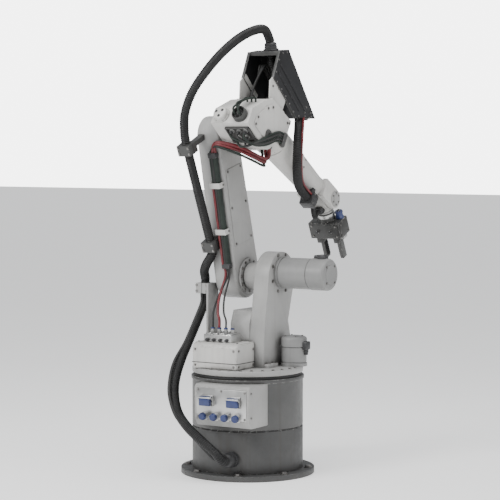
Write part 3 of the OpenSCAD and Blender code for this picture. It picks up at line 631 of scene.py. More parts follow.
def make_hoses():
    half = BLOCK_H / 2
    base_route = [turret_hose - Vector((0, 0, half)), turret_hose + Vector((-0.006, 0.001, -0.07)),
                  turret_hose + Vector((-0.058, 0.011, -0.16)), turret_hose + Vector((-0.112, 0.02, -0.245)),
                  beside_base(58.8, 0.052, SEAM_Z + 0.058), beside_base(50.2, 0.079, SEAM_Z - 0.022),
                  beside_base(42.4, 0.093, SEAM_Z - 0.092), beside_base(30, 0.104, COLUMN_TOP + 0.075),
                  beside_base(16, 0.112, COLUMN_TOP + 0.02), beside_base(2, 0.12, gland.z + 0.098),
                  beside_base(-8, 0.112, gland.z + 0.048), gland + Vector((-0.034, -0.001, 0.008)), gland]
    shoulder_route = [run_end(run_low, -half), by_shoulder(-0.164, run_y + 0.008, 0.101),
                      by_shoulder(-0.152, run_y + 0.044, 0.058), by_shoulder(-0.114, turret_hose.y - 0.01, 0.022),
                      turret_hose + Vector((-0.002, -0.001, half + 0.022)), turret_hose + Vector((0, 0, half))]
    roof_end = roof_gland + ROOF_GLAND_LEN * roof_up
    elbow_route = [run_end(run_high, half), by_elbow(-0.236, run_y - 0.004, 0.018),
                   by_elbow(-0.252, run_y - 0.018, 0.098), by_elbow(-0.244, run_y - 0.05, 0.188),
                   by_elbow(-0.206, run_y - 0.09, 0.273),
                   by_elbow(-0.135, wrist.y + 0.068, 0.363), by_elbow(-0.045, wrist.y + 0.03, 0.436),
                   by_elbow(0.05, wrist.y + 0.004, 0.478), by_elbow(0.14, wrist.y, 0.484),
                   upper_at(roof_end.x, 0, roof_end.y)]
    forearm_route = [upper_at(belly_gland.x, belly_gland.y, belly_gland.z - half), on_hold(-0.1, -0.088, 0.193),
                     on_hold(-0.15, -0.114, 0.118), on_hold(-0.04, -0.112, 0.058), on_hold(0.21, -0.086, 0.017),
                     on_hold(0.57, -0.046, 0.001), upper_at(forearm_hold.x - half, forearm_hold.y, forearm_hold.z)]
    front = forearm_hold + Vector((half, 0, 0))
    tail = Vector((-WRIST_CLAMP_OUT, 0, -WRIST_CLAMP_LOW))
    wrist_route = [UPPER @ front, UPPER @ (front + Vector((0.036, 0.006, -0.008))),
                   UPPER @ (front + Vector((0.084, 0.024, -0.014))), TOOL @ (tail - Vector((0.034, 0.002, 0.009))),
                   TOOL @ tail]
    cable_route = [REAR @ Vector((-TRUNK_T / 2, trunk_y + TRUNK_W / 2, trunk_s1)),
                   by_elbow(-0.097, arm_y0 + 0.014, -0.042),
                   by_elbow(-0.09, wrist.y + 0.088, -0.036), by_elbow(-0.06, wrist.y + 0.019, -0.054),
                   by_elbow(-0.015, wrist.y - 0.03, -0.084), by_elbow(0.038, wrist.y - 0.055, -0.108),
                   by_elbow(0.08, wrist.y - 0.056, -0.1), upper_at(0.11, -0.05, elbow_offset - 0.08)]
    across = [("base_loop", base_route, HOSE_R, "turret", "base", above_seam(base_route[0])),
              ("shoulder_loop", shoulder_route, HOSE_R, "lower_arm", "turret", shoulder_route[-1]),
              ("elbow_loop", elbow_route, HOSE_R, "lower_arm", "upper_arm", elbow_route[-1]),
              ("forearm_hose", forearm_route, HOSE_R, "upper_arm", "forearm", forearm_route[-1]),
              ("wrist_hose", wrist_route, WRIST_HOSE_R, "forearm", "wrist", wrist_route[-1])]
    for node, route, radius, first, last, end in across:
        obj = corrugated(f"{node}_corrugated", route, radius)
        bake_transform(obj)
        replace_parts(obj, node)
    run = [run_end(run_low, half), run_end(run_low, 0.2), run_end(run_high, -half)]
    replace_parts(corrugated("held_hose_corrugated", run, HOSE_R, "lower_arm"), "held_hose")
    for k, (name, radius, material) in enumerate((("elbow_cable_jacket", CABLE_R, red_cable),
                                                  ("elbow_cable_second", 0.007, red_cable),
                                                  ("elbow_cable_third", 0.006, harness_sheath))):
        droop = [0, 0.3, 0.7, 1, 1, 1, 0.6, 0]
        route = [p - Vector((0.004, 0.004, 0.0165)) * (k * d) for p, d in zip(cable_route, droop)]
        route[0] = cable_route[0] + REAR.to_3x3() @ Vector((0, -0.014 * k if k < 2 else 0.013, 0))
        route[-1] = cable_route[-1] + Vector((0, 0.021 * k, 0))
        route[-2] = route[-2] + Vector((0, 0.016 * k, 0))
        loop = cable(name, route, radius, material, None, 16, CABLE_R)
        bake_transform(loop)
        if k == 0:
            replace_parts(loop, "elbow_cable")
    beside = [p + Vector((0.006, -0.021, 0.016)) for p in forearm_route]
    loop = cable("forearm_cable", beside, 0.0055, red_cable, None, 14, CABLE_R)
    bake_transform(loop)


# Rigid pieces that keep the solids' shape, with rounded edges

ROUNDED = [
    ("foot_plate", pedestal_paint, 0.003), ("pedestal_column", pedestal_paint, 0.003),
    ("base_casting", base_paint, 0.003), ("seal_ring", black_rubber, 0.003), ("connection_panel", arm_paint, 0.005),
    ("turntable", arm_paint, 0.004), ("shoulder_casting", arm_paint, 0.007), ("rear_cover", white_cover, 0.008),
    ("hose_bracket", arm_paint, 0.003), ("lower_arm_beam", arm_paint, 0.016), ("lower_arm_covers", arm_paint, 0.003),
    ("harness_clamps", white_cover, 0.0015), ("hose_clamps", dark_metal, 0.004),
    ("elbow_housing", white_cover, 0.018), ("hood_brackets", white_cover, 0.0015), ("hose_hood", hood_sheet, 0.0015),
    ("forearm_casting", white_cover, 0.005), ("forearm_clamp", black_plastic, 0.004),
    ("wrist_housing", white_cover, 0.004), ("wrist_cover", arm_paint, 0.003), ("wrist_clamp", black_plastic, 0.003),
    ("tool_flange", bare_metal, 0.002), ("gripper_body", dark_metal, 0.004), ("finger_rail", bare_metal, 0.001),
    ("finger_left", dark_metal, 0.002), ("finger_right", dark_metal, 0.002)]
WIDE_ROUNDING = 0.01


def make_rounded():
    for node, material, width in ROUNDED:
        rounded(node, material, width, 3 if width > WIDE_ROUNDING else 2)


# Base and turret

PANEL_X, PANEL_Y, PANEL_Z = -0.319, -0.06, 0.249
PANEL_W, PANEL_H = 0.29, 0.19
FOOT_T, ANCHOR_R = 0.025, 0.283
PANEL_SCREW = 0.0042
COVER_SCREW = 0.0045
CLAMP_SCREW_Z = 0.014
MOTOR_2_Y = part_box("motor_2")[1].y
cover_low, cover_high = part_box("rear_cover")
valve_low, valve_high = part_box("valve_block")


def valve_y(k):
    """The middle of one of the four valves, across the valve block."""
    return valve_low.y + 0.022 + 0.0353 * k


def make_base():
    screw_ring("base", facing((0, 0, FOOT_T), (0, 0, 1)), ANCHOR_R, 8, 0.014, math.pi / 8, "hex")
    plate = bmesh.new()
    y0, y1 = PANEL_Y - PANEL_W / 2 + 0.012, PANEL_Y + PANEL_W / 2 - 0.012
    z0, z1 = PANEL_Z + 0.036, PANEL_Z + PANEL_H - 0.018
    add_box(plate, WORLD, (PANEL_X - 0.003, y0, z0), (PANEL_X + 0.002, y1, z1), 0.0012)
    piece("panel_plate", plate, bare_metal, "base")
    screw_grid("base", [PANEL_X - 0.003], (y0 + 0.008, (y0 + y1) / 2, y1 - 0.008), (z0 + 0.008, z1 - 0.008),
               (-1, 0, 0), PANEL_SCREW)
    for out in (-1, 1):
        screw_grid("base", [PANEL_X + 0.02], [PANEL_Y + out * PANEL_W / 2],
                   (PANEL_Z + 0.05, PANEL_Z + PANEL_H - 0.03), (0, out, 0), PANEL_SCREW)
    hoods, frames, seals = bmesh.new(), bmesh.new(), bmesh.new()
    for side in (-1, 1):
        y, z = PANEL_Y + side * PANEL_W / 4, PANEL_Z + PANEL_H / 2 + 0.023
        add_box(frames, WORLD, (PANEL_X - 0.012, y - 0.032, z - 0.025), (PANEL_X, y + 0.032, z + 0.025), 0.002)
        add_box(seals, WORLD, (PANEL_X - 0.014, y - 0.028, z - 0.021), (PANEL_X - 0.01, y + 0.028, z + 0.021), 0.001)
        hood = ((0.013, -0.022), (0.013, 0.022), (0.028, 0.022), (0.034, 0.014), (0.034, -0.022))
        add_prism(hoods, WORLD, [(PANEL_X - out, z + up) for out, up in hood], y - 0.029, y + 0.029, 0.004)
        lever = ((0.004, -0.01), (0.004, 0.004), (0.03, 0.02), (0.032, 0.012))
        for edge in (-1, 1):
            add_prism(frames, WORLD, [(PANEL_X - out, z + up) for out, up in lever], y + edge * 0.0335 - 0.0015,
                      y + edge * 0.0335 + 0.0015, 0.0006)
            screw("base", (PANEL_X - 0.012, y + edge * 0.0275, z - 0.02), (-1, 0, 0), 0.003)
        add_box(frames, WORLD, (PANEL_X - 0.034, y - 0.035, z + 0.012), (PANEL_X - 0.028, y + 0.035, z + 0.019),
                0.0015)
    for k in range(4):
        place = facing((PANEL_X, PANEL_Y + (k - 1.5) * PANEL_W / 5, PANEL_Z + PANEL_H / 4), (-1, 0, 0))
        add_lathe(frames, place, [(0, 0), (0.021, 0), (0.021, 0.004), (0.0165, 0.005), (0.0165, 0.012), (0, 0.012)], 6)
        add_disc(frames, place, 0.0155, 0.01, 0.017, 32)
        knurl = [(0, 0.016)] + [(0.0172 if j % 2 else 0.0162, 0.017 + 0.0014 * j) for j in range(9)]
        add_lathe(hoods, place, knurl + [(0.0165, 0.031), (0.0145, 0.034), (0, 0.034)], 32)
    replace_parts(piece("connector_hoods", hoods, blue_plastic, "base"), "panel_connectors")
    piece("connector_frames", frames, bare_metal, "base")
    piece("connector_seals", seals, black_rubber, "base")
    nut = bmesh.new()
    place = facing((-BASE_R + 0.006, gland.y, gland.z), (-1, 0, 0))
    add_lathe(nut, place, [(0, -0.004), (0.036, -0.004), (0.036, 0.012), (0.034, 0.014), (0, 0.014)])
    add_lathe(nut, place, [(0, 0.012), (0.035, 0.012), (0.036, 0.014), (0.036, 0.026), (0.034, 0.028), (0, 0.028)], 6)
    grip = [(0.031 - 0.0012 * (j % 2), 0.03 + 0.0025 * j) for j in range(7)]
    add_lathe(nut, place, [(0, 0.027), (0.031, 0.027)] + grip + [(0.027, 0.05), (0.0225, 0.0525), (0, 0.0525)])
    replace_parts(piece("gland_nut", nut, black_plastic, "base"), "base_hose_gland")


def motor_shape(bm, place, radius, length):
    """A motor: flange, smooth can with its seams, end bell with a rounded rim and a shallow lid."""
    seam = length * 0.62
    can = [(0, 0), (0, 0.014), (0.001, 0.015), (0.005, 0.015), (0.005, 0.02), (0.003, 0.021), (0.003, seam),
           (0.0055, seam + 0.001), (0.0055, seam + 0.004), (0.001, seam + 0.005), (0.001, length - 0.016),
           (0.003, length - 0.009), (0.008, length - 0.004), (0.016, length - 0.002)]
    lid = [(radius * 0.62, length - 0.002), (radius * 0.6, length), (0, length)]
    add_lathe(bm, place, [(0, 0)] + [(radius - inset, height) for inset, height in can] + lid, 64)


def make_turret():
    boxes = [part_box(node) for node in ("rear_cover", "motor_1", "shoulder_casting", "hose_bracket")]
    screw_ring("turret", facing((0, 0, deck_z), (0, 0, 1)), 0.243, 30, 0.006, skip=boxes)
    lid = bmesh.new()
    top = cover_high.z
    add_box(lid, WORLD, (cover_low.x + 0.018, cover_low.y + 0.004, top - 0.002),
            (cover_high.x - 0.002, cover_high.y - 0.004, top + 0.0025), 0.0015)
    piece("cover_lid", lid, white_cover, "turret")
    across, up = (cover_low.y + 0.016, cover_high.y - 0.016), (deck_z + 0.016, top - 0.03)
    screw_grid("turret", (cover_low.x + 0.032, cover_high.x - 0.014), across, [top + 0.0025], (0, 0, 1), COVER_SCREW)
    screw_grid("turret", [cover_low.x], across, up, (-1, 0, 0), COVER_SCREW)
    screw_grid("turret", (cover_low.x + 0.02, cover_high.x - 0.014), [cover_low.y], up, (0, -1, 0), COVER_SCREW)
    gap = bmesh.new()
    add_box(gap, WORLD, (cover_low.x - 0.0012, cover_low.y - 0.0012, deck_z + 0.028),
            (cover_high.x, cover_high.y + 0.0012, deck_z + 0.0305))
    piece("cover_joint", gap, black_rubber, "turret")
    block, collars, stubs = bmesh.new(), bmesh.new(), bmesh.new()
    body_top = valve_high.z - 0.026
    add_box(block, WORLD, valve_low, (valve_high.x, valve_high.y, body_top - 0.006), 0.002)
    for k in range(4):
        y = valve_y(k)
        add_box(block, WORLD, (valve_low.x + 0.006, y - 0.015, body_top - 0.008),
                (valve_high.x - 0.006, y + 0.015, body_top), 0.002)
        place = facing(((valve_low.x + valve_high.x) / 2, y, body_top), (0, 0, 1))
        add_disc(block, place, 0.011, 0, 0.009, 6)
        add_disc(block, place, 0.0085, 0.008, 0.017)
        add_lathe(collars, place, [(0, 0.016), (0.0095, 0.016), (0.0095, 0.021), (0.007, 0.023), (0, 0.023)], 24)
        add_lathe(stubs, facing((valve_low.x, y, valve_low.z + 0.014), (-1, 0, 0)),
                  [(0, -0.002), (0.008, -0.002), (0.008, 0.008), (0.0055, 0.009), (0.0055, 0.016), (0, 0.016)], 24)
        screw_grid("turret", (valve_high.x - 0.013, valve_low.x + 0.013), [y], [body_top], (0, 0, 1), 0.0032)
    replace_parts(piece("valve_bodies", block, bare_metal, "turret"), "valve_block")
    piece("valve_collars", collars, blue_plastic, "turret")
    piece("valve_plugs", stubs, black_plastic, "turret")
    for node, place, radius, length in (
            ("motor_1", facing((shoulder.x, MOTOR_2_Y - 0.065, deck_z), (0, 0, 1)), 0.062, 0.14),
            ("motor_2", facing((shoulder.x, MOTOR_2_Y, shoulder.z + 0.02), (0, -1, 0)), 0.075, 0.262)):
        can = bmesh.new()
        motor_shape(can, place, radius, length)
        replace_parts(piece(f"{node}_can", can, motor_paint, "turret", 30), node)
        screw_ring("turret", place @ Matrix.Translation((0, 0, length - 0.002)), radius - 0.022, 4, COVER_SCREW,
                   math.pi / 4)
        plug = bmesh.new()
        add_box(plug, place, (-0.02, radius - 0.012, length - 0.062), (0.02, radius + 0.016, length - 0.024), 0.004)
        exit_way = Matrix.Translation((0, radius + 0.004, length - 0.064)) @ Matrix.Rotation(math.pi, 4, "X")
        add_lathe(plug, place @ exit_way,
                  [(0, -0.004), (0.011, -0.004), (0.011, 0.01), (0.009, 0.012), (0.009, 0.022), (0, 0.022)], 24)
        piece(f"{node}_plug", plug, black_plastic, "turret")
    screw_ring("turret", facing((shoulder.x, MOTOR_2_Y, shoulder.z + 0.02), (0, -1, 0)), 0.09, 8, 0.0065, math.pi / 8)
    flange = bmesh.new()
    for x0, x1 in ((-0.06, 0.026), (0.174, 0.213)):
        add_box(flange, WORLD, (x0, MOTOR_2_Y - 0.026, deck_z - 0.001), (x1, MOTOR_2_Y + 0.002, deck_z + 0.018),
                0.004)
        for x in ((x0 + 0.018, x1 - 0.018) if x1 - x0 > 0.05 else ((x0 + x1) / 2,)):
            screw("turret", (x, MOTOR_2_Y - 0.013, deck_z + 0.018), (0, 0, 1), 0.008, "hex")
    piece("casting_foot", flange, arm_paint, "turret")
    up = (turret_hose.z - CLAMP_SCREW_Z, turret_hose.z + CLAMP_SCREW_Z)
    screw_grid("turret", (turret_hose.x - 0.026, turret_hose.x + 0.026), [turret_hose.y + BLOCK / 2], up, (0, 1, 0),
               0.005)
    screw_grid("turret", [turret_hose.x - BLOCK / 2], (turret_hose.y - 0.027, turret_hose.y + 0.027), up, (-1, 0, 0),
               PANEL_SCREW)
    seam = bmesh.new()
    reach = Vector((BLOCK / 2 + SEAM_OUT, 0.001, BLOCK_H / 2 + SEAM_OUT))
    add_box(seam, WORLD, turret_hose - reach, turret_hose + reach)
    piece("post_clamp_seam", seam, black_rubber, "turret")
    screw_grid("turret", (post_low.x + 0.018, post_high.x - 0.018), [post_low.y + 0.012], [deck_z + 0.03], (0, 1, 0),
               0.007, "hex")


# Lower arm

STRAPS = (0.235, 0.455)
STRAP_LEN = 0.026
COVER_T = 0.009
PLATE_OUT, PLATE_SINK = 0.004, 0.002


def make_lower_arm():
    near = facing((shoulder.x, arm_y0 - COVER_T, shoulder.z), (0, -1, 0))
    screw_ring("lower_arm", near, 0.074, 12, 0.0055)
    rims = bmesh.new()
    for hub, ring, count, radius in ((shoulder, 0.07, 10, 0.05), (elbow, 0.055, 8, 0.038)):
        place = facing((hub.x, arm_y1 + COVER_T, hub.z), (0, 1, 0))
        screw_ring("lower_arm", place, ring, count, 0.0055)
        add_lathe(rims, place, [(0, -0.001), (radius, -0.001), (radius, 0.003), (radius - 0.003, 0.005),
                                (radius - 0.012, 0.005), (radius - 0.015, 0.002), (0, 0.002)])
    piece("cover_caps", rims, white_cover, "lower_arm")
    plates = bmesh.new()
    low, high = 0.165, lower_len - 0.15
    half_low, half_high = 0.078, 0.066
    outline = [(-half_low, low), (-half_high, high), (half_high, high), (half_low, low)]
    add_prism(plates, LOWER, outline, arm_y0 - PLATE_OUT, arm_y0 + PLATE_SINK, 0.003)
    add_prism(plates, LOWER, outline, arm_y1 - PLATE_SINK, arm_y1 + PLATE_OUT, 0.003)
    piece("beam_plates", plates, arm_paint, "lower_arm")
    for y, out in ((arm_y0 - PLATE_OUT, -1), (arm_y1 + PLATE_OUT, 1)):
        for share in (0.03, 0.5, 0.97):
            reach = half_low + share * (half_high - half_low) - 0.011
            screw_grid("lower_arm", (-reach, reach), [y], [low + share * (high - low)], (0, out, 0), 0.0048,
                       place=LOWER)
    ends = (trunk_s0 + 0.001, trunk_s1 - 0.001)

    def strand(name, x, y, radius, s0, s1, material, pitch, depth, sway):
        points = [REAR @ Vector((x, trunk_y + y + sway * math.sin(9 * k), s0 + (s1 - s0) * k / 8))
                  for k in range(9)]
        return dress(name, hose_mesh(name, points, radius, material, pitch, depth, 16), material, "lower_arm", 0)

    sheath = strand("trunk_sheath", -0.0165, 0.0155, 0.0148, *ends, harness_sheath, 0.006, 0.001, 0.0004)
    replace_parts(sheath, "harness_trunk")
    strand("trunk_sheath_2", -0.0165, 0.033, 0.0126, *ends, harness_sheath, 0.006, 0.001, 0.0004)
    strand("trunk_cable", -0.027, 0.0235, 0.0062, *ends, black_rubber, 0.01, 0.0, 0.0008)
    strand("trunk_red_cable", -0.0275, 0.037, 0.0062, ends[0], STRAPS[1] + 0.01, red_cable, 0.01, 0.0, 0.0008)
    plug = bmesh.new()
    for s in (trunk_s0, trunk_s1 - 0.026):
        add_box(plug, REAR, (-TRUNK_T, trunk_y + 0.001, s), (-0.001, trunk_y + TRUNK_W - 0.001, s + 0.026), 0.006)
    piece("trunk_ends", plug, black_plastic, "lower_arm")
    for s in STRAPS:
        for y, way in ((trunk_y - 0.005, (0, -1, 0)), (trunk_y + TRUNK_W + 0.005, (0, 1, 0))):
            screw("lower_arm", REAR @ Vector((-0.007, y, s + STRAP_LEN / 2)), way, 0.004)
        feet = bmesh.new()
        add_box(feet, REAR, (-0.004, trunk_y + TRUNK_W + 0.003, s + 0.003),
                (0.001, trunk_y + TRUNK_W + 0.022, s + STRAP_LEN - 0.003), 0.001)
        piece(f"strap_foot_{round(1000 * s)}", feet, white_cover, "lower_arm")
        screw("lower_arm", REAR @ Vector((-0.004, trunk_y + TRUNK_W + 0.014, s + STRAP_LEN / 2)), (-1, 0, 0), 0.004)
    turn = Matrix.Rotation(math.atan2(run_way.x, run_way.y), 4, "Y")
    seams = bmesh.new()
    for p in (run_low, run_high):
        clamp = LOWER @ Matrix.Translation((p.x, run_y, p.y)) @ turn
        screw_grid("lower_arm", [-BLOCK / 2], (-0.027, 0.027), (-CLAMP_SCREW_Z, CLAMP_SCREW_Z), (-1, 0, 0),
                   COVER_SCREW, place=clamp)
        reach = Vector((0.001, BLOCK / 2 + SEAM_OUT, BLOCK_H / 2 + SEAM_OUT))
        add_box(seams, clamp, -reach, reach)
    piece("clamp_seams", seams, black_rubber, "lower_arm")


def make_thin_cables():
    """Cables that cross a joint beside the hoses: from the trunk to the valve block, and beside the base hose."""
    half = BLOCK_H / 2
    middle = (valve_low.x + valve_high.x) / 2
    for name, y, k, radius, material in (("valve_red_cable", 0.034, 2, 0.0062, red_cable),
                                         ("valve_tube", 0.012, 1, 0.0045, black_rubber),
                                         ("valve_tube_2", 0.022, 3, 0.0045, black_rubber)):
        start = REAR @ Vector((-TRUNK_T / 2 - 0.004, trunk_y + y, trunk_s0))
        end = Vector((middle, valve_y(k), valve_high.z - 0.004))
        route = [start, start + Vector((0.004, 0, -0.04)), start.lerp(end, 0.42) + Vector((-0.012, 0.01, -0.018)),
                 start.lerp(end, 0.75) + Vector((-0.016, 0.006, 0.006)), end + Vector((0, 0, 0.036)), end]
        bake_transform(cable(name, route, radius, material))
    side = Vector((-0.027, 0.002, 0))
    foot = Vector((-BASE_R - 0.02, gland.y + 0.06, gland.z))
    route = [turret_hose + side - Vector((0, 0, half)), turret_hose + side + Vector((-0.004, 0.001, -0.075)),
             turret_hose + side + Vector((-0.054, 0.012, -0.165)), turret_hose + side + Vector((-0.11, 0.024, -0.25)),
             beside_base(56, 0.084, SEAM_Z + 0.05), beside_base(47, 0.11, SEAM_Z - 0.03),
             beside_base(39, 0.122, SEAM_Z - 0.1), beside_base(27, 0.124, COLUMN_TOP + 0.06),
             beside_base(14, 0.112, COLUMN_TOP),
             beside_base(4, 0.09, gland.z + 0.06), foot + Vector((-0.036, 0, 0.01)), foot]
    obj = cable("base_cable", route, 0.0075, black_rubber)
    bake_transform(obj)
    nut = bmesh.new()
    place = facing(foot + Vector((0.028, 0, 0)), (-1, 0, 0))
    add_disc(nut, place, 0.014, -0.004, 0.014, 6)
    add_lathe(nut, place, [(0, 0.012), (0.0125, 0.012), (0.0125, 0.024), (0.009, 0.03), (0, 0.03)], 24)
    piece("cable_gland", nut, black_plastic, "base")


# Upper arm

ELBOW_HALF = 0.1
ELBOW_REAR = -0.172
ELBOW_TOP = elbow_offset + 0.08
REAR_MID = -0.001
MOTOR_3_PLUGS = ((0.0, 0.013), (-0.011, -0.009), (0.012, -0.008))
UNDER_PLUGS = ((0.05, -0.066), (0.052, -0.03), (0.05, 0.006), (0.09, -0.056), (0.092, -0.012))
TRAY_X, TRAY_Y, TRAY_WALL = (0.026, 0.128), (-0.092, 0.034), 0.007


def rear_frame(y):
    """The middle of a rear motor's seat on the elbow housing, looking out behind it."""
    return UPPER @ facing((ELBOW_REAR, y, REAR_MID), (-1, 0, 0))


def make_elbow():
    cap, plugs = bmesh.new(), bmesh.new()
    seat = rear_frame(ELBOW_HALF / 2)
    add_lathe(cap, seat, [(0, -0.002), (0.037, -0.002), (0.037, 0.005), (0.0355, 0.0065), (0.033, 0.007),
                          (0.033, 0.02), (0.031, 0.026), (0.026, 0.0295), (0, 0.03)])
    for k in range(3):
        a = math.radians(40 + 120 * k)
        add_lathe(plugs, seat @ Matrix.Translation((0.018 * math.cos(a), 0.018 * math.sin(a), 0.028)),
                  [(0, -0.002), (0.0068, -0.002), (0.0068, 0.003), (0.005, 0.0045), (0, 0.0045)], 20)
    screw_ring("upper_arm", seat @ Matrix.Translation((0, 0, 0.0055)), 0.0352, 6, 0.0018)
    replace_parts(piece("motor_4_cap", cap, white_cover, "upper_arm"), "motor_4")
    ring, floor = bmesh.new(), bmesh.new()
    seat = rear_frame(-ELBOW_HALF / 2)
    add_lathe(ring, seat, [(0, -0.002), (0.036, -0.002), (0.036, 0.006), (0.034, 0.008), (0.034, 0.026),
                           (0.0325, 0.028), (0.029, 0.028), (0.0285, 0.011), (0, 0.011)])
    for x, y in MOTOR_3_PLUGS:
        place = seat @ Matrix.Translation((x, y, 0.011))
        add_disc(floor, place, 0.0088, -0.001, 0.008, 6)
        add_lathe(plugs, place, [(0, 0.007), (0.0072, 0.007), (0.0072, 0.014), (0.006, 0.0155), (0, 0.0155)], 20)
    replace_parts(piece("motor_3_ring", ring, dark_metal, "upper_arm"), "motor_3")
    for k, (x, y) in enumerate(MOTOR_3_PLUGS):
        start = seat @ Vector((x, y, 0.026))
        inner = UPPER.inverted() @ start
        end = Vector((-0.112, -0.062 + 0.022 * k, ELBOW_TOP - 0.058))
        route = [inner + Vector((-0.016, 0.001, 0.003)), inner + Vector((-0.024, 0.004, 0.024)),
                 inner.lerp(end, 0.6) + Vector((-0.03, 0, 0.014)), end + Vector((-0.016, 0, 0.012)), end]
        cable(f"motor_3_lead_{k}", [start] + [UPPER @ p for p in route], 0.0045, harness_sheath, "upper_arm", 12)
    plates = bmesh.new()
    outline = [(-0.128, -0.018), (-0.128, 0.022), (-0.072, 0.112), (-0.034, 0.142), (0.128, 0.142), (0.128, 0.03),
               (0.05, 0.024), (0.0, -0.034)]
    add_prism(plates, UPPER, outline, -ELBOW_HALF - PLATE_OUT, -ELBOW_HALF + PLATE_SINK, 0.003)
    add_prism(plates, UPPER, [(0.04, 0.05), (0.04, 0.14), (0.128, 0.14), (0.128, 0.05)], ELBOW_HALF - PLATE_SINK,
              ELBOW_HALF + PLATE_OUT, 0.003)
    piece("elbow_plates", plates, white_cover, "upper_arm")
    middle = Vector((0.01, 0.06))
    for x, z in outline:
        spot = Vector((x, z)) + (middle - Vector((x, z))).normalized() * 0.013
        screw("upper_arm", upper_at(spot.x, -ELBOW_HALF - PLATE_OUT, spot.y), (0, -1, 0), 0.0048)
    screw_grid("upper_arm", (0.05, 0.118), [ELBOW_HALF + PLATE_OUT], (0.06, 0.13), (0, 1, 0), 0.0048, place=UPPER)
    collar = bmesh.new()
    add_lathe(collar, UPPER @ facing((0, -ELBOW_HALF, 0), (0, -1, 0)),
              [(0, -0.002), (0.026, -0.002), (0.026, 0.007), (0.024, 0.009), (0.012, 0.009), (0.01, 0.006),
               (0, 0.006)])
    for k in range(3):
        add_lathe(collar, UPPER @ facing((0.11, -0.05 + 0.021 * k, elbow_offset - 0.08), (0, 0, -1)),
                  [(0, -0.004), (0.0145, -0.004), (0.0145, 0.006), (0.0125, 0.0075), (0.0125, 0.013), (0.01, 0.015),
                   (0, 0.015)], 20)
    under = UPPER @ Matrix.Translation((ELBOW_REAR, 0, -0.04)) @ Matrix.Rotation(math.atan2(0.025, 0.172), 4, "Y")
    tray = bmesh.new()
    x0, x1, y0, y1 = *TRAY_X, *TRAY_Y
    add_box(tray, under, (x0, y0, -0.004), (x1, y1, 0.002), 0.002)
    for low, high in (((x0, y0), (x0 + TRAY_WALL, y1)), ((x1 - TRAY_WALL, y0), (x1, y1)),
                      ((x0, y0), (x1, y0 + TRAY_WALL)), ((x0, y1 - TRAY_WALL), (x1, y1))):
        add_box(tray, under, (*low, -0.012), (*high, 0.0), 0.0015)
    add_box(tray, UPPER, (0.108, -0.118, 0.012), (0.132, -0.099, 0.08), 0.003)
    piece("under_tray", tray, dark_metal, "upper_arm")
    for k, (x, y) in enumerate(UNDER_PLUGS):
        place = under @ facing((x, y, -0.003), (0, 0, -1))
        add_lathe(floor, place, [(0, -0.001), (0.012, -0.001), (0.012, 0.004), (0.0095, 0.005), (0.0095, 0.01),
                                 (0, 0.01)], 20)
        add_lathe(plugs, place, [(0, 0.009), (0.008, 0.009), (0.008, 0.016), (0.0055, 0.021), (0, 0.021)], 20)
        side = -0.107 - 0.004 * (k % 2)
        route = [place @ Vector((0, 0, 0.019)), place @ Vector((0, 0, 0.03)),
                 under @ Vector((x + 0.012, y * 0.6 - 0.03, -0.042 - 0.003 * k)),
                 under @ Vector((0.115, side + 0.01, -0.036 + 0.005 * k)),
                 upper_at(0.0, side - 0.004, -0.052 + 0.012 * k), upper_at(0.07, side, 0.01 + 0.012 * k),
                 upper_at(0.112, -0.1085, 0.022 + 0.012 * k)]
        cable(f"under_lead_{k}", route, 0.0048, (harness_sheath, black_rubber)[k % 2], "upper_arm", 12)
    piece("elbow_collars", collar, dark_metal, "upper_arm")
    piece("rear_sockets", floor, bare_metal, "upper_arm")
    piece("rear_plugs", plugs, black_plastic, "upper_arm")
    for out in (-1, 1):
        screw_grid("upper_arm", [0.14], [out * 0.0984], (elbow_offset - 0.062, elbow_offset + 0.062), (0, out, 0),
                   0.006, place=UPPER)


RIB_OUT = 0.003
RIVET_PITCH = 0.055


def edge_frame(a, b, y):
    """A frame on a hood edge: X along it, Y across the hood and Z square to both."""
    way = (b - a).normalized()
    return UPPER @ Matrix.Translation((a.x, y, a.y)) @ Matrix.Rotation(-math.atan2(way.y, way.x), 4, "Y")


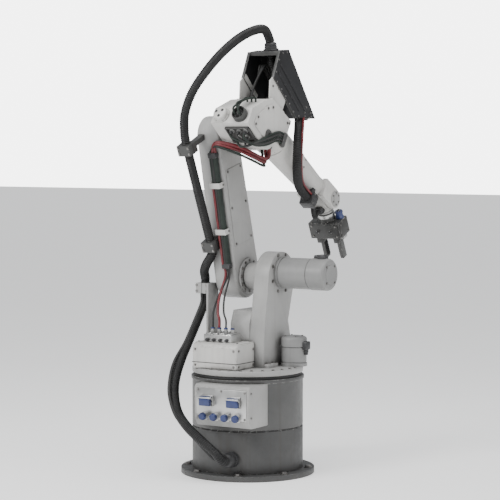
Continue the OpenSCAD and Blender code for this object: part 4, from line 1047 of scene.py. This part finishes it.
def make_hood():
    low, top, peak, nose, belly = hood_points
    centre = sum(hood_points, Vector((0, 0))) / len(hood_points)
    side = HOOD_W / 2
    rims = bmesh.new()
    for a, b in ((low, top), (nose, belly), (belly, low)):
        for y in (-side, side):
            inner = (0, HOOD_T + 0.009) if y < 0 else (-HOOD_T - 0.009, 0)
            add_box(rims, edge_frame(a, b, y), (0, inner[0], -0.004), ((b - a).length, inner[1], 0.0005), 0.001)
    add_box(rims, edge_frame(top, peak, 0), (-0.001, -side, -0.018), (0.003, side, 0.001), 0.001)
    piece("hood_rims", rims, dark_metal, "upper_arm")
    ribs = bmesh.new()
    for y, out in ((-side, -1), (side, 1)):
        for share in (0.3, 0.62):
            a, b = top.lerp(low, share), nose.lerp(belly, share)
            place = edge_frame(a, b, y)
            span = (b - a).length
            add_box(ribs, place, (0.03, min(0, out * RIB_OUT), -0.007), (span - 0.05, max(0, out * RIB_OUT), 0.007),
                    0.0028, 3)
        for a, b in ((low, top), (top, peak), (peak, nose), (nose, belly), (belly, low)):
            count = max(2, round((b - a).length / RIVET_PITCH))
            for k in range(count):
                spot = a.lerp(b, (k + 0.5) / count)
                spot = spot + (centre - spot).normalized() * 0.011
                screw("upper_arm", upper_at(spot.x, y, spot.y), (0, out, 0), 0.0032, "rivet")
    piece("hood_ribs", ribs, hood_sheet, "upper_arm")
    roof, up = Vector((roof_gland.x, 0, roof_gland.y)), Vector((roof_up.x, 0, roof_up.y))
    inside = [roof - 0.004 * up, roof - 0.06 * up, Vector((0.075, -0.018, 0.322)), Vector((0.17, -0.044, 0.295)),
              Vector((belly_gland.x - BLOCK / 2, belly_gland.y, 0.287))]
    corrugated("hood_hose", [UPPER @ p for p in inside], HOSE_R, "upper_arm")
    for k in range(3):
        x, y = 0.02 * k, 0.03 + 0.016 * k
        points = [upper_at(x - 0.012, y, ELBOW_TOP - 0.002), upper_at(x - 0.03, y + 0.004, ELBOW_TOP + 0.06),
                  upper_at(x - 0.034, y - 0.008, ELBOW_TOP + 0.14), upper_at(-0.012, y - 0.014, 0.37),
                  upper_at(0.06, 0.02 + 0.01 * k, 0.35), upper_at(0.16, 0.01 + 0.012 * k, 0.318)]
        cable(f"hood_wire_{k}", points, 0.0055, black_rubber, "upper_arm", 12, 0.012)
    rail = bmesh.new()
    add_box(rail, UPPER, (0.15, -side + HOOD_T, 0.296), (0.176, side - HOOD_T, 0.302), 0.001)
    piece("hood_rail", rail, bare_metal, "upper_arm")
    feet = bmesh.new()
    face = side - HOOD_T
    for out in (-1, 1):
        y = out * face
        add_box(feet, UPPER, (-0.044, min(y, y + out * 0.014), ELBOW_TOP - 0.001),
                (0.078, max(y, y + out * 0.014), ELBOW_TOP + 0.005), 0.001)
        screw_grid("upper_arm", (-0.028, 0.062), [y + out * 0.0065], [ELBOW_TOP + 0.005], (0, 0, 1), COVER_SCREW,
                   place=UPPER)
        for x, z in ((-0.05, 0.066), (0.0, 0.084), (0.06, 0.084)):
            screw("upper_arm", upper_at(x, y, ELBOW_TOP + z), (0, out, 0), COVER_SCREW)
    piece("bracket_feet", feet, white_cover, "upper_arm")
    nuts = bmesh.new()
    place = UPPER @ facing(roof, up)
    add_lathe(nuts, place, [(0, -0.004), (0.036, -0.004), (0.036, 0.005), (0.034, 0.007), (0, 0.007)])
    add_disc(nuts, place, 0.034, 0.006, 0.018, 6)
    grip = [(0.029 - 0.0012 * (j % 2), 0.019 + 0.0025 * j) for j in range(6)]
    add_lathe(nuts, place, [(0, 0.017), (0.029, 0.017)] + grip + [(0.025, 0.035), (0.0225, 0.0375), (0, 0.0375)])
    reach = Vector((BLOCK / 2, BLOCK / 2, BLOCK_H / 2))
    add_box(nuts, UPPER, belly_gland - reach, belly_gland + reach, 0.005)
    add_lathe(nuts, UPPER @ facing(belly_gland - Vector((0, 0, BLOCK_H / 2 - 0.002)), (0, 0, -1)),
              [(0, 0), (0.03, 0), (0.03, 0.006), (0.026, 0.008), (0, 0.008)])
    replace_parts(piece("gland_nuts", nuts, black_plastic, "upper_arm"), "hood_glands")
    screw_grid("upper_arm", (belly_gland.x - 0.024, belly_gland.x + 0.024), [-side],
               (belly_gland.z - CLAMP_SCREW_Z, belly_gland.z + CLAMP_SCREW_Z), (0, -1, 0), PANEL_SCREW, place=UPPER)


# Forearm, wrist and gripper

FOREARM_START = 0.155
FORK_X = upper_len - 0.095
CONE_START = FOREARM_START + 0.022
CONE_R1, CONE_R2 = 0.076, 0.058
GRIPPER_TOP = -0.114
FINGER_Y = 0.046


def forearm_radius(x):
    return CONE_R1 + (x - CONE_START) / (FORK_X - CONE_START) * (CONE_R2 - CONE_R1)


def make_forearm():
    place = UPPER @ facing((CONE_START, 0, elbow_offset), (1, 0, 0))
    screw_ring("forearm", place, 0.0802, 18, 0.0032)
    bands = bmesh.new()
    for x, wide in ((0.2, 0.012), (FORK_X - 0.018, 0.016)):
        radius = forearm_radius(x)
        add_lathe(bands, UPPER @ facing((x, 0, elbow_offset), (1, 0, 0)),
                  [(0, 0), (radius, 0), (radius + 0.003, 0.002), (radius + 0.0025, wide - 0.002),
                   (radius - 0.001, wide), (0, wide)], 56)
    piece("forearm_bands", bands, white_cover, "forearm")
    lids = bmesh.new()
    slope = math.atan2(CONE_R1 - CONE_R2, FORK_X - CONE_START)
    for turn in (0, 90, 270):
        spin = UPPER @ Matrix.Translation((0, 0, elbow_offset)) @ Matrix.Rotation(math.radians(turn), 4, "X")
        x0, x1 = (0.26, 0.44) if turn == 0 else (0.3, 0.41)
        mid = (x0 + x1) / 2
        seat = spin @ Matrix.Translation((mid, 0, forearm_radius(mid))) @ Matrix.Rotation(slope, 4, "Y")
        wide, long = 0.028, (x1 - x0) / 2
        add_box(lids, seat, (-long, -wide, -0.01), (long, wide, 0.003), 0.0025)
        screw_grid("forearm", (-long + 0.009, 0, long - 0.009), (-wide + 0.008, wide - 0.008), [0.003], (0, 0, 1),
                   0.0038, place=seat)
    piece("forearm_lids", lids, white_cover, "forearm")
    caps = bmesh.new()
    for out in (-1, 1):
        place = UPPER @ facing((upper_len, out * 0.072, elbow_offset), (0, out, 0))
        add_lathe(caps, place, [(0, -0.001), (0.038, -0.001), (0.038, 0.003), (0.036, 0.005), (0.022, 0.005),
                                (0.02, 0.008), (0.014, 0.0095), (0, 0.0095)])
        screw_ring("forearm", place @ Matrix.Translation((0, 0, 0.005)), 0.0292, 6, 0.0036)
    piece("fork_caps", caps, arm_paint, "forearm")
    screw_grid("forearm", (forearm_hold.x - CLAMP_SCREW_Z, forearm_hold.x + CLAMP_SCREW_Z),
               [forearm_hold.y - BLOCK / 2], (forearm_hold.z - 0.025, forearm_hold.z + 0.025), (0, -1, 0), COVER_SCREW,
               place=UPPER)
    seam = bmesh.new()
    reach = Vector((BLOCK_H / 2 + SEAM_OUT, BLOCK / 2 + SEAM_OUT, 0.001))
    add_box(seam, UPPER, forearm_hold - reach, forearm_hold + reach)
    piece("forearm_clamp_seam", seam, dark_metal, "forearm")


def make_tool():
    up = TOOL.to_3x3() @ Vector((0, 0, 1))
    screw_ring("wrist", TOOL @ Matrix.Translation((0, 0, 0.066)), 0.023, 6, 0.0036)
    bands = bmesh.new()
    add_lathe(bands, TOOL, [(0, -0.071), (0.04, -0.071), (0.0405, -0.069), (0.0405, -0.062), (0.038, -0.06),
                            (0, -0.06)])
    piece("wrist_band", bands, arm_paint, "wrist")
    seal = bmesh.new()
    add_disc(seal, TOOL, 0.034, -0.077, -0.0705, 48)
    piece("flange_seal", seal, black_rubber, "wrist")
    screw_grid("wrist", [-0.058], (-0.0145, 0.0145), [-0.024], (0, 0, 1), 0.0032, place=TOOL)
    plates, metal, dark, blue = bmesh.new(), bmesh.new(), bmesh.new(), bmesh.new()
    for out in (-1, 1):
        x, y = out * 0.048, out * 0.085
        x_out, y_out = x + out * 0.003, y + out * 0.003
        add_box(plates, TOOL, (min(x, x_out), -0.074, -0.191), (max(x, x_out), 0.074, -0.121), 0.0012)
        screw_grid("tool", [x_out], (-0.066, 0.066), (-0.183, -0.129), (out, 0, 0), 0.004, place=TOOL)
        add_box(plates, TOOL, (-0.04, min(y, y_out), -0.191), (0.04, max(y, y_out), -0.121), 0.0012)
        screw_grid("tool", (-0.032, 0.032), [y_out], (-0.183, -0.129), (0, out, 0), 0.0036, place=TOOL)
    for y in (-0.036, 0.036):
        place = TOOL @ facing((-0.051, y, -0.156), (-1, 0, 0))
        add_disc(metal, place, 0.008, -0.001, 0.006, 6)
        add_lathe(dark, place, [(0, 0.005), (0.006, 0.005), (0.006, 0.012), (0.0045, 0.014), (0, 0.014)], 20)
    for x, y in ((-0.036, -0.07), (-0.036, 0.07), (0.036, 0.07)):
        screw("tool", TOOL @ Vector((x, y, GRIPPER_TOP)), up, 0.0042)
    screw_ring("tool", TOOL @ Matrix.Translation((0, 0, GRIPPER_TOP - 0.0005)), 0.052, 4, 0.0036, math.radians(20))
    place = TOOL @ Matrix.Translation((0.02, -0.062, GRIPPER_TOP))
    add_lathe(blue, place, [(0, 0), (0.02, 0), (0.02, 0.009), (0.018, 0.0105), (0.018, 0.0275), (0.02, 0.029),
                            (0.02, 0.035), (0.0185, 0.038), (0, 0.038)], 40)
    add_disc(metal, place, 0.007, 0.037, 0.041, 6)
    add_disc(dark, place, 0.005, 0.0405, 0.046, 20)
    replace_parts(piece("air_cylinder_can", blue, blue_plastic, "tool"), "air_cylinder")
    piece("gripper_plates", plates, dark_metal, "tool")
    piece("gripper_fittings", metal, bare_metal, "tool")
    piece("gripper_plugs", dark, black_plastic, "tool")
    for side, body in ((1, "left_finger"), (-1, "right_finger")):
        pad = bmesh.new()
        inner = side * (FINGER_Y - 0.009)
        teeth = [(-0.228 - 0.005 * k - (0.0025 if j else 0), 0.0008 if j else 0.0034)
                 for k in range(17) for j in (0, 1)]
        outline = [(-0.226, -0.002)] + teeth + [(teeth[-1][0], -0.002)]
        across = TOOL @ Matrix.Rotation(math.pi / 2, 4, "Z")
        add_prism(pad, across, [(inner - side * t, z) for z, t in outline], -0.016, 0.016)
        piece(f"{body}_pad", pad, black_rubber, body, 20)
        for x in (-0.027, 0.027):
            screw(body, TOOL @ Vector((x, side * (FINGER_Y + 0.016), -0.212)), (0, side, 0), 0.0038)
            screw(body, TOOL @ Vector((x, side * FINGER_Y, -0.2283)), -up, 0.0038)


# Floor and light

FLOOR_SIZE, FLOOR_GLOW = 40.0, 0.55
SOFT_LIGHT, BACKDROP_LIGHT = 0.5, 7.0
LIGHT_AIM = Vector((0, 0, 1.0))
# Each light: name, place, size and power
LIGHTS = (("top_light", (-0.8, -0.6, 4.6), 3.2, 130), ("key_light", (-4.4, 1.4, 3.6), 1.8, 190),
          ("right_fill", (0.8, -4.6, 2.4), 2.4, 50))


def make_stage():
    bm = bmesh.new()
    bmesh.ops.create_grid(bm, x_segments=2, y_segments=2, size=FLOOR_SIZE)
    mesh = bpy.data.meshes.new("studio_floor")
    bm.to_mesh(mesh)
    bm.free()
    floor = bpy.data.objects.new("studio_floor", mesh)
    floor.location.z = -0.0005
    pale = finish("pale_floor", (0.9, 0.9, 0.895), (0.88, 0.88, 0.875), 0.6, mottle=1.2, grain=90,
                  grain_depth=0.0002)
    shader = pale.node_tree.nodes["Principled BSDF"]
    shader.inputs["Emission Color"].default_value = (1, 1, 1, 1)
    shader.inputs["Emission Strength"].default_value = FLOOR_GLOW
    mesh.materials.append(pale)
    bpy.context.scene.collection.objects.link(floor)
    world = bpy.data.worlds.new("studio")
    world.use_nodes = True
    tree = world.node_tree
    soft = tree.nodes["Background"]
    soft.inputs["Color"].default_value = (0.95, 0.97, 1.0, 1)
    soft.inputs["Strength"].default_value = SOFT_LIGHT
    white = tree.nodes.new("ShaderNodeBackground")
    white.inputs["Strength"].default_value = BACKDROP_LIGHT
    seen = tree.nodes.new("ShaderNodeLightPath")
    both = tree.nodes.new("ShaderNodeMixShader")
    tree.links.new(seen.outputs["Is Camera Ray"], both.inputs[0])
    tree.links.new(soft.outputs[0], both.inputs[1])
    tree.links.new(white.outputs[0], both.inputs[2])
    tree.links.new(both.outputs[0], tree.nodes["World Output"].inputs["Surface"])
    bpy.context.scene.world = world
    for name, place, size, power in LIGHTS:
        light = bpy.data.lights.new(name, "AREA")
        light.size = size
        light.energy = power
        lamp = bpy.data.objects.new(name, light)
        lamp.location = place
        lamp.rotation_euler = (LIGHT_AIM - Vector(place)).to_track_quat("-Z", "Y").to_euler()
        bpy.context.scene.collection.objects.link(lamp)


place_camera()
make_stage()
make_hoses()
make_rounded()
make_base()
make_turret()
make_lower_arm()
make_thin_cables()
make_elbow()
make_hood()
make_forearm()
make_tool()
make_screws()
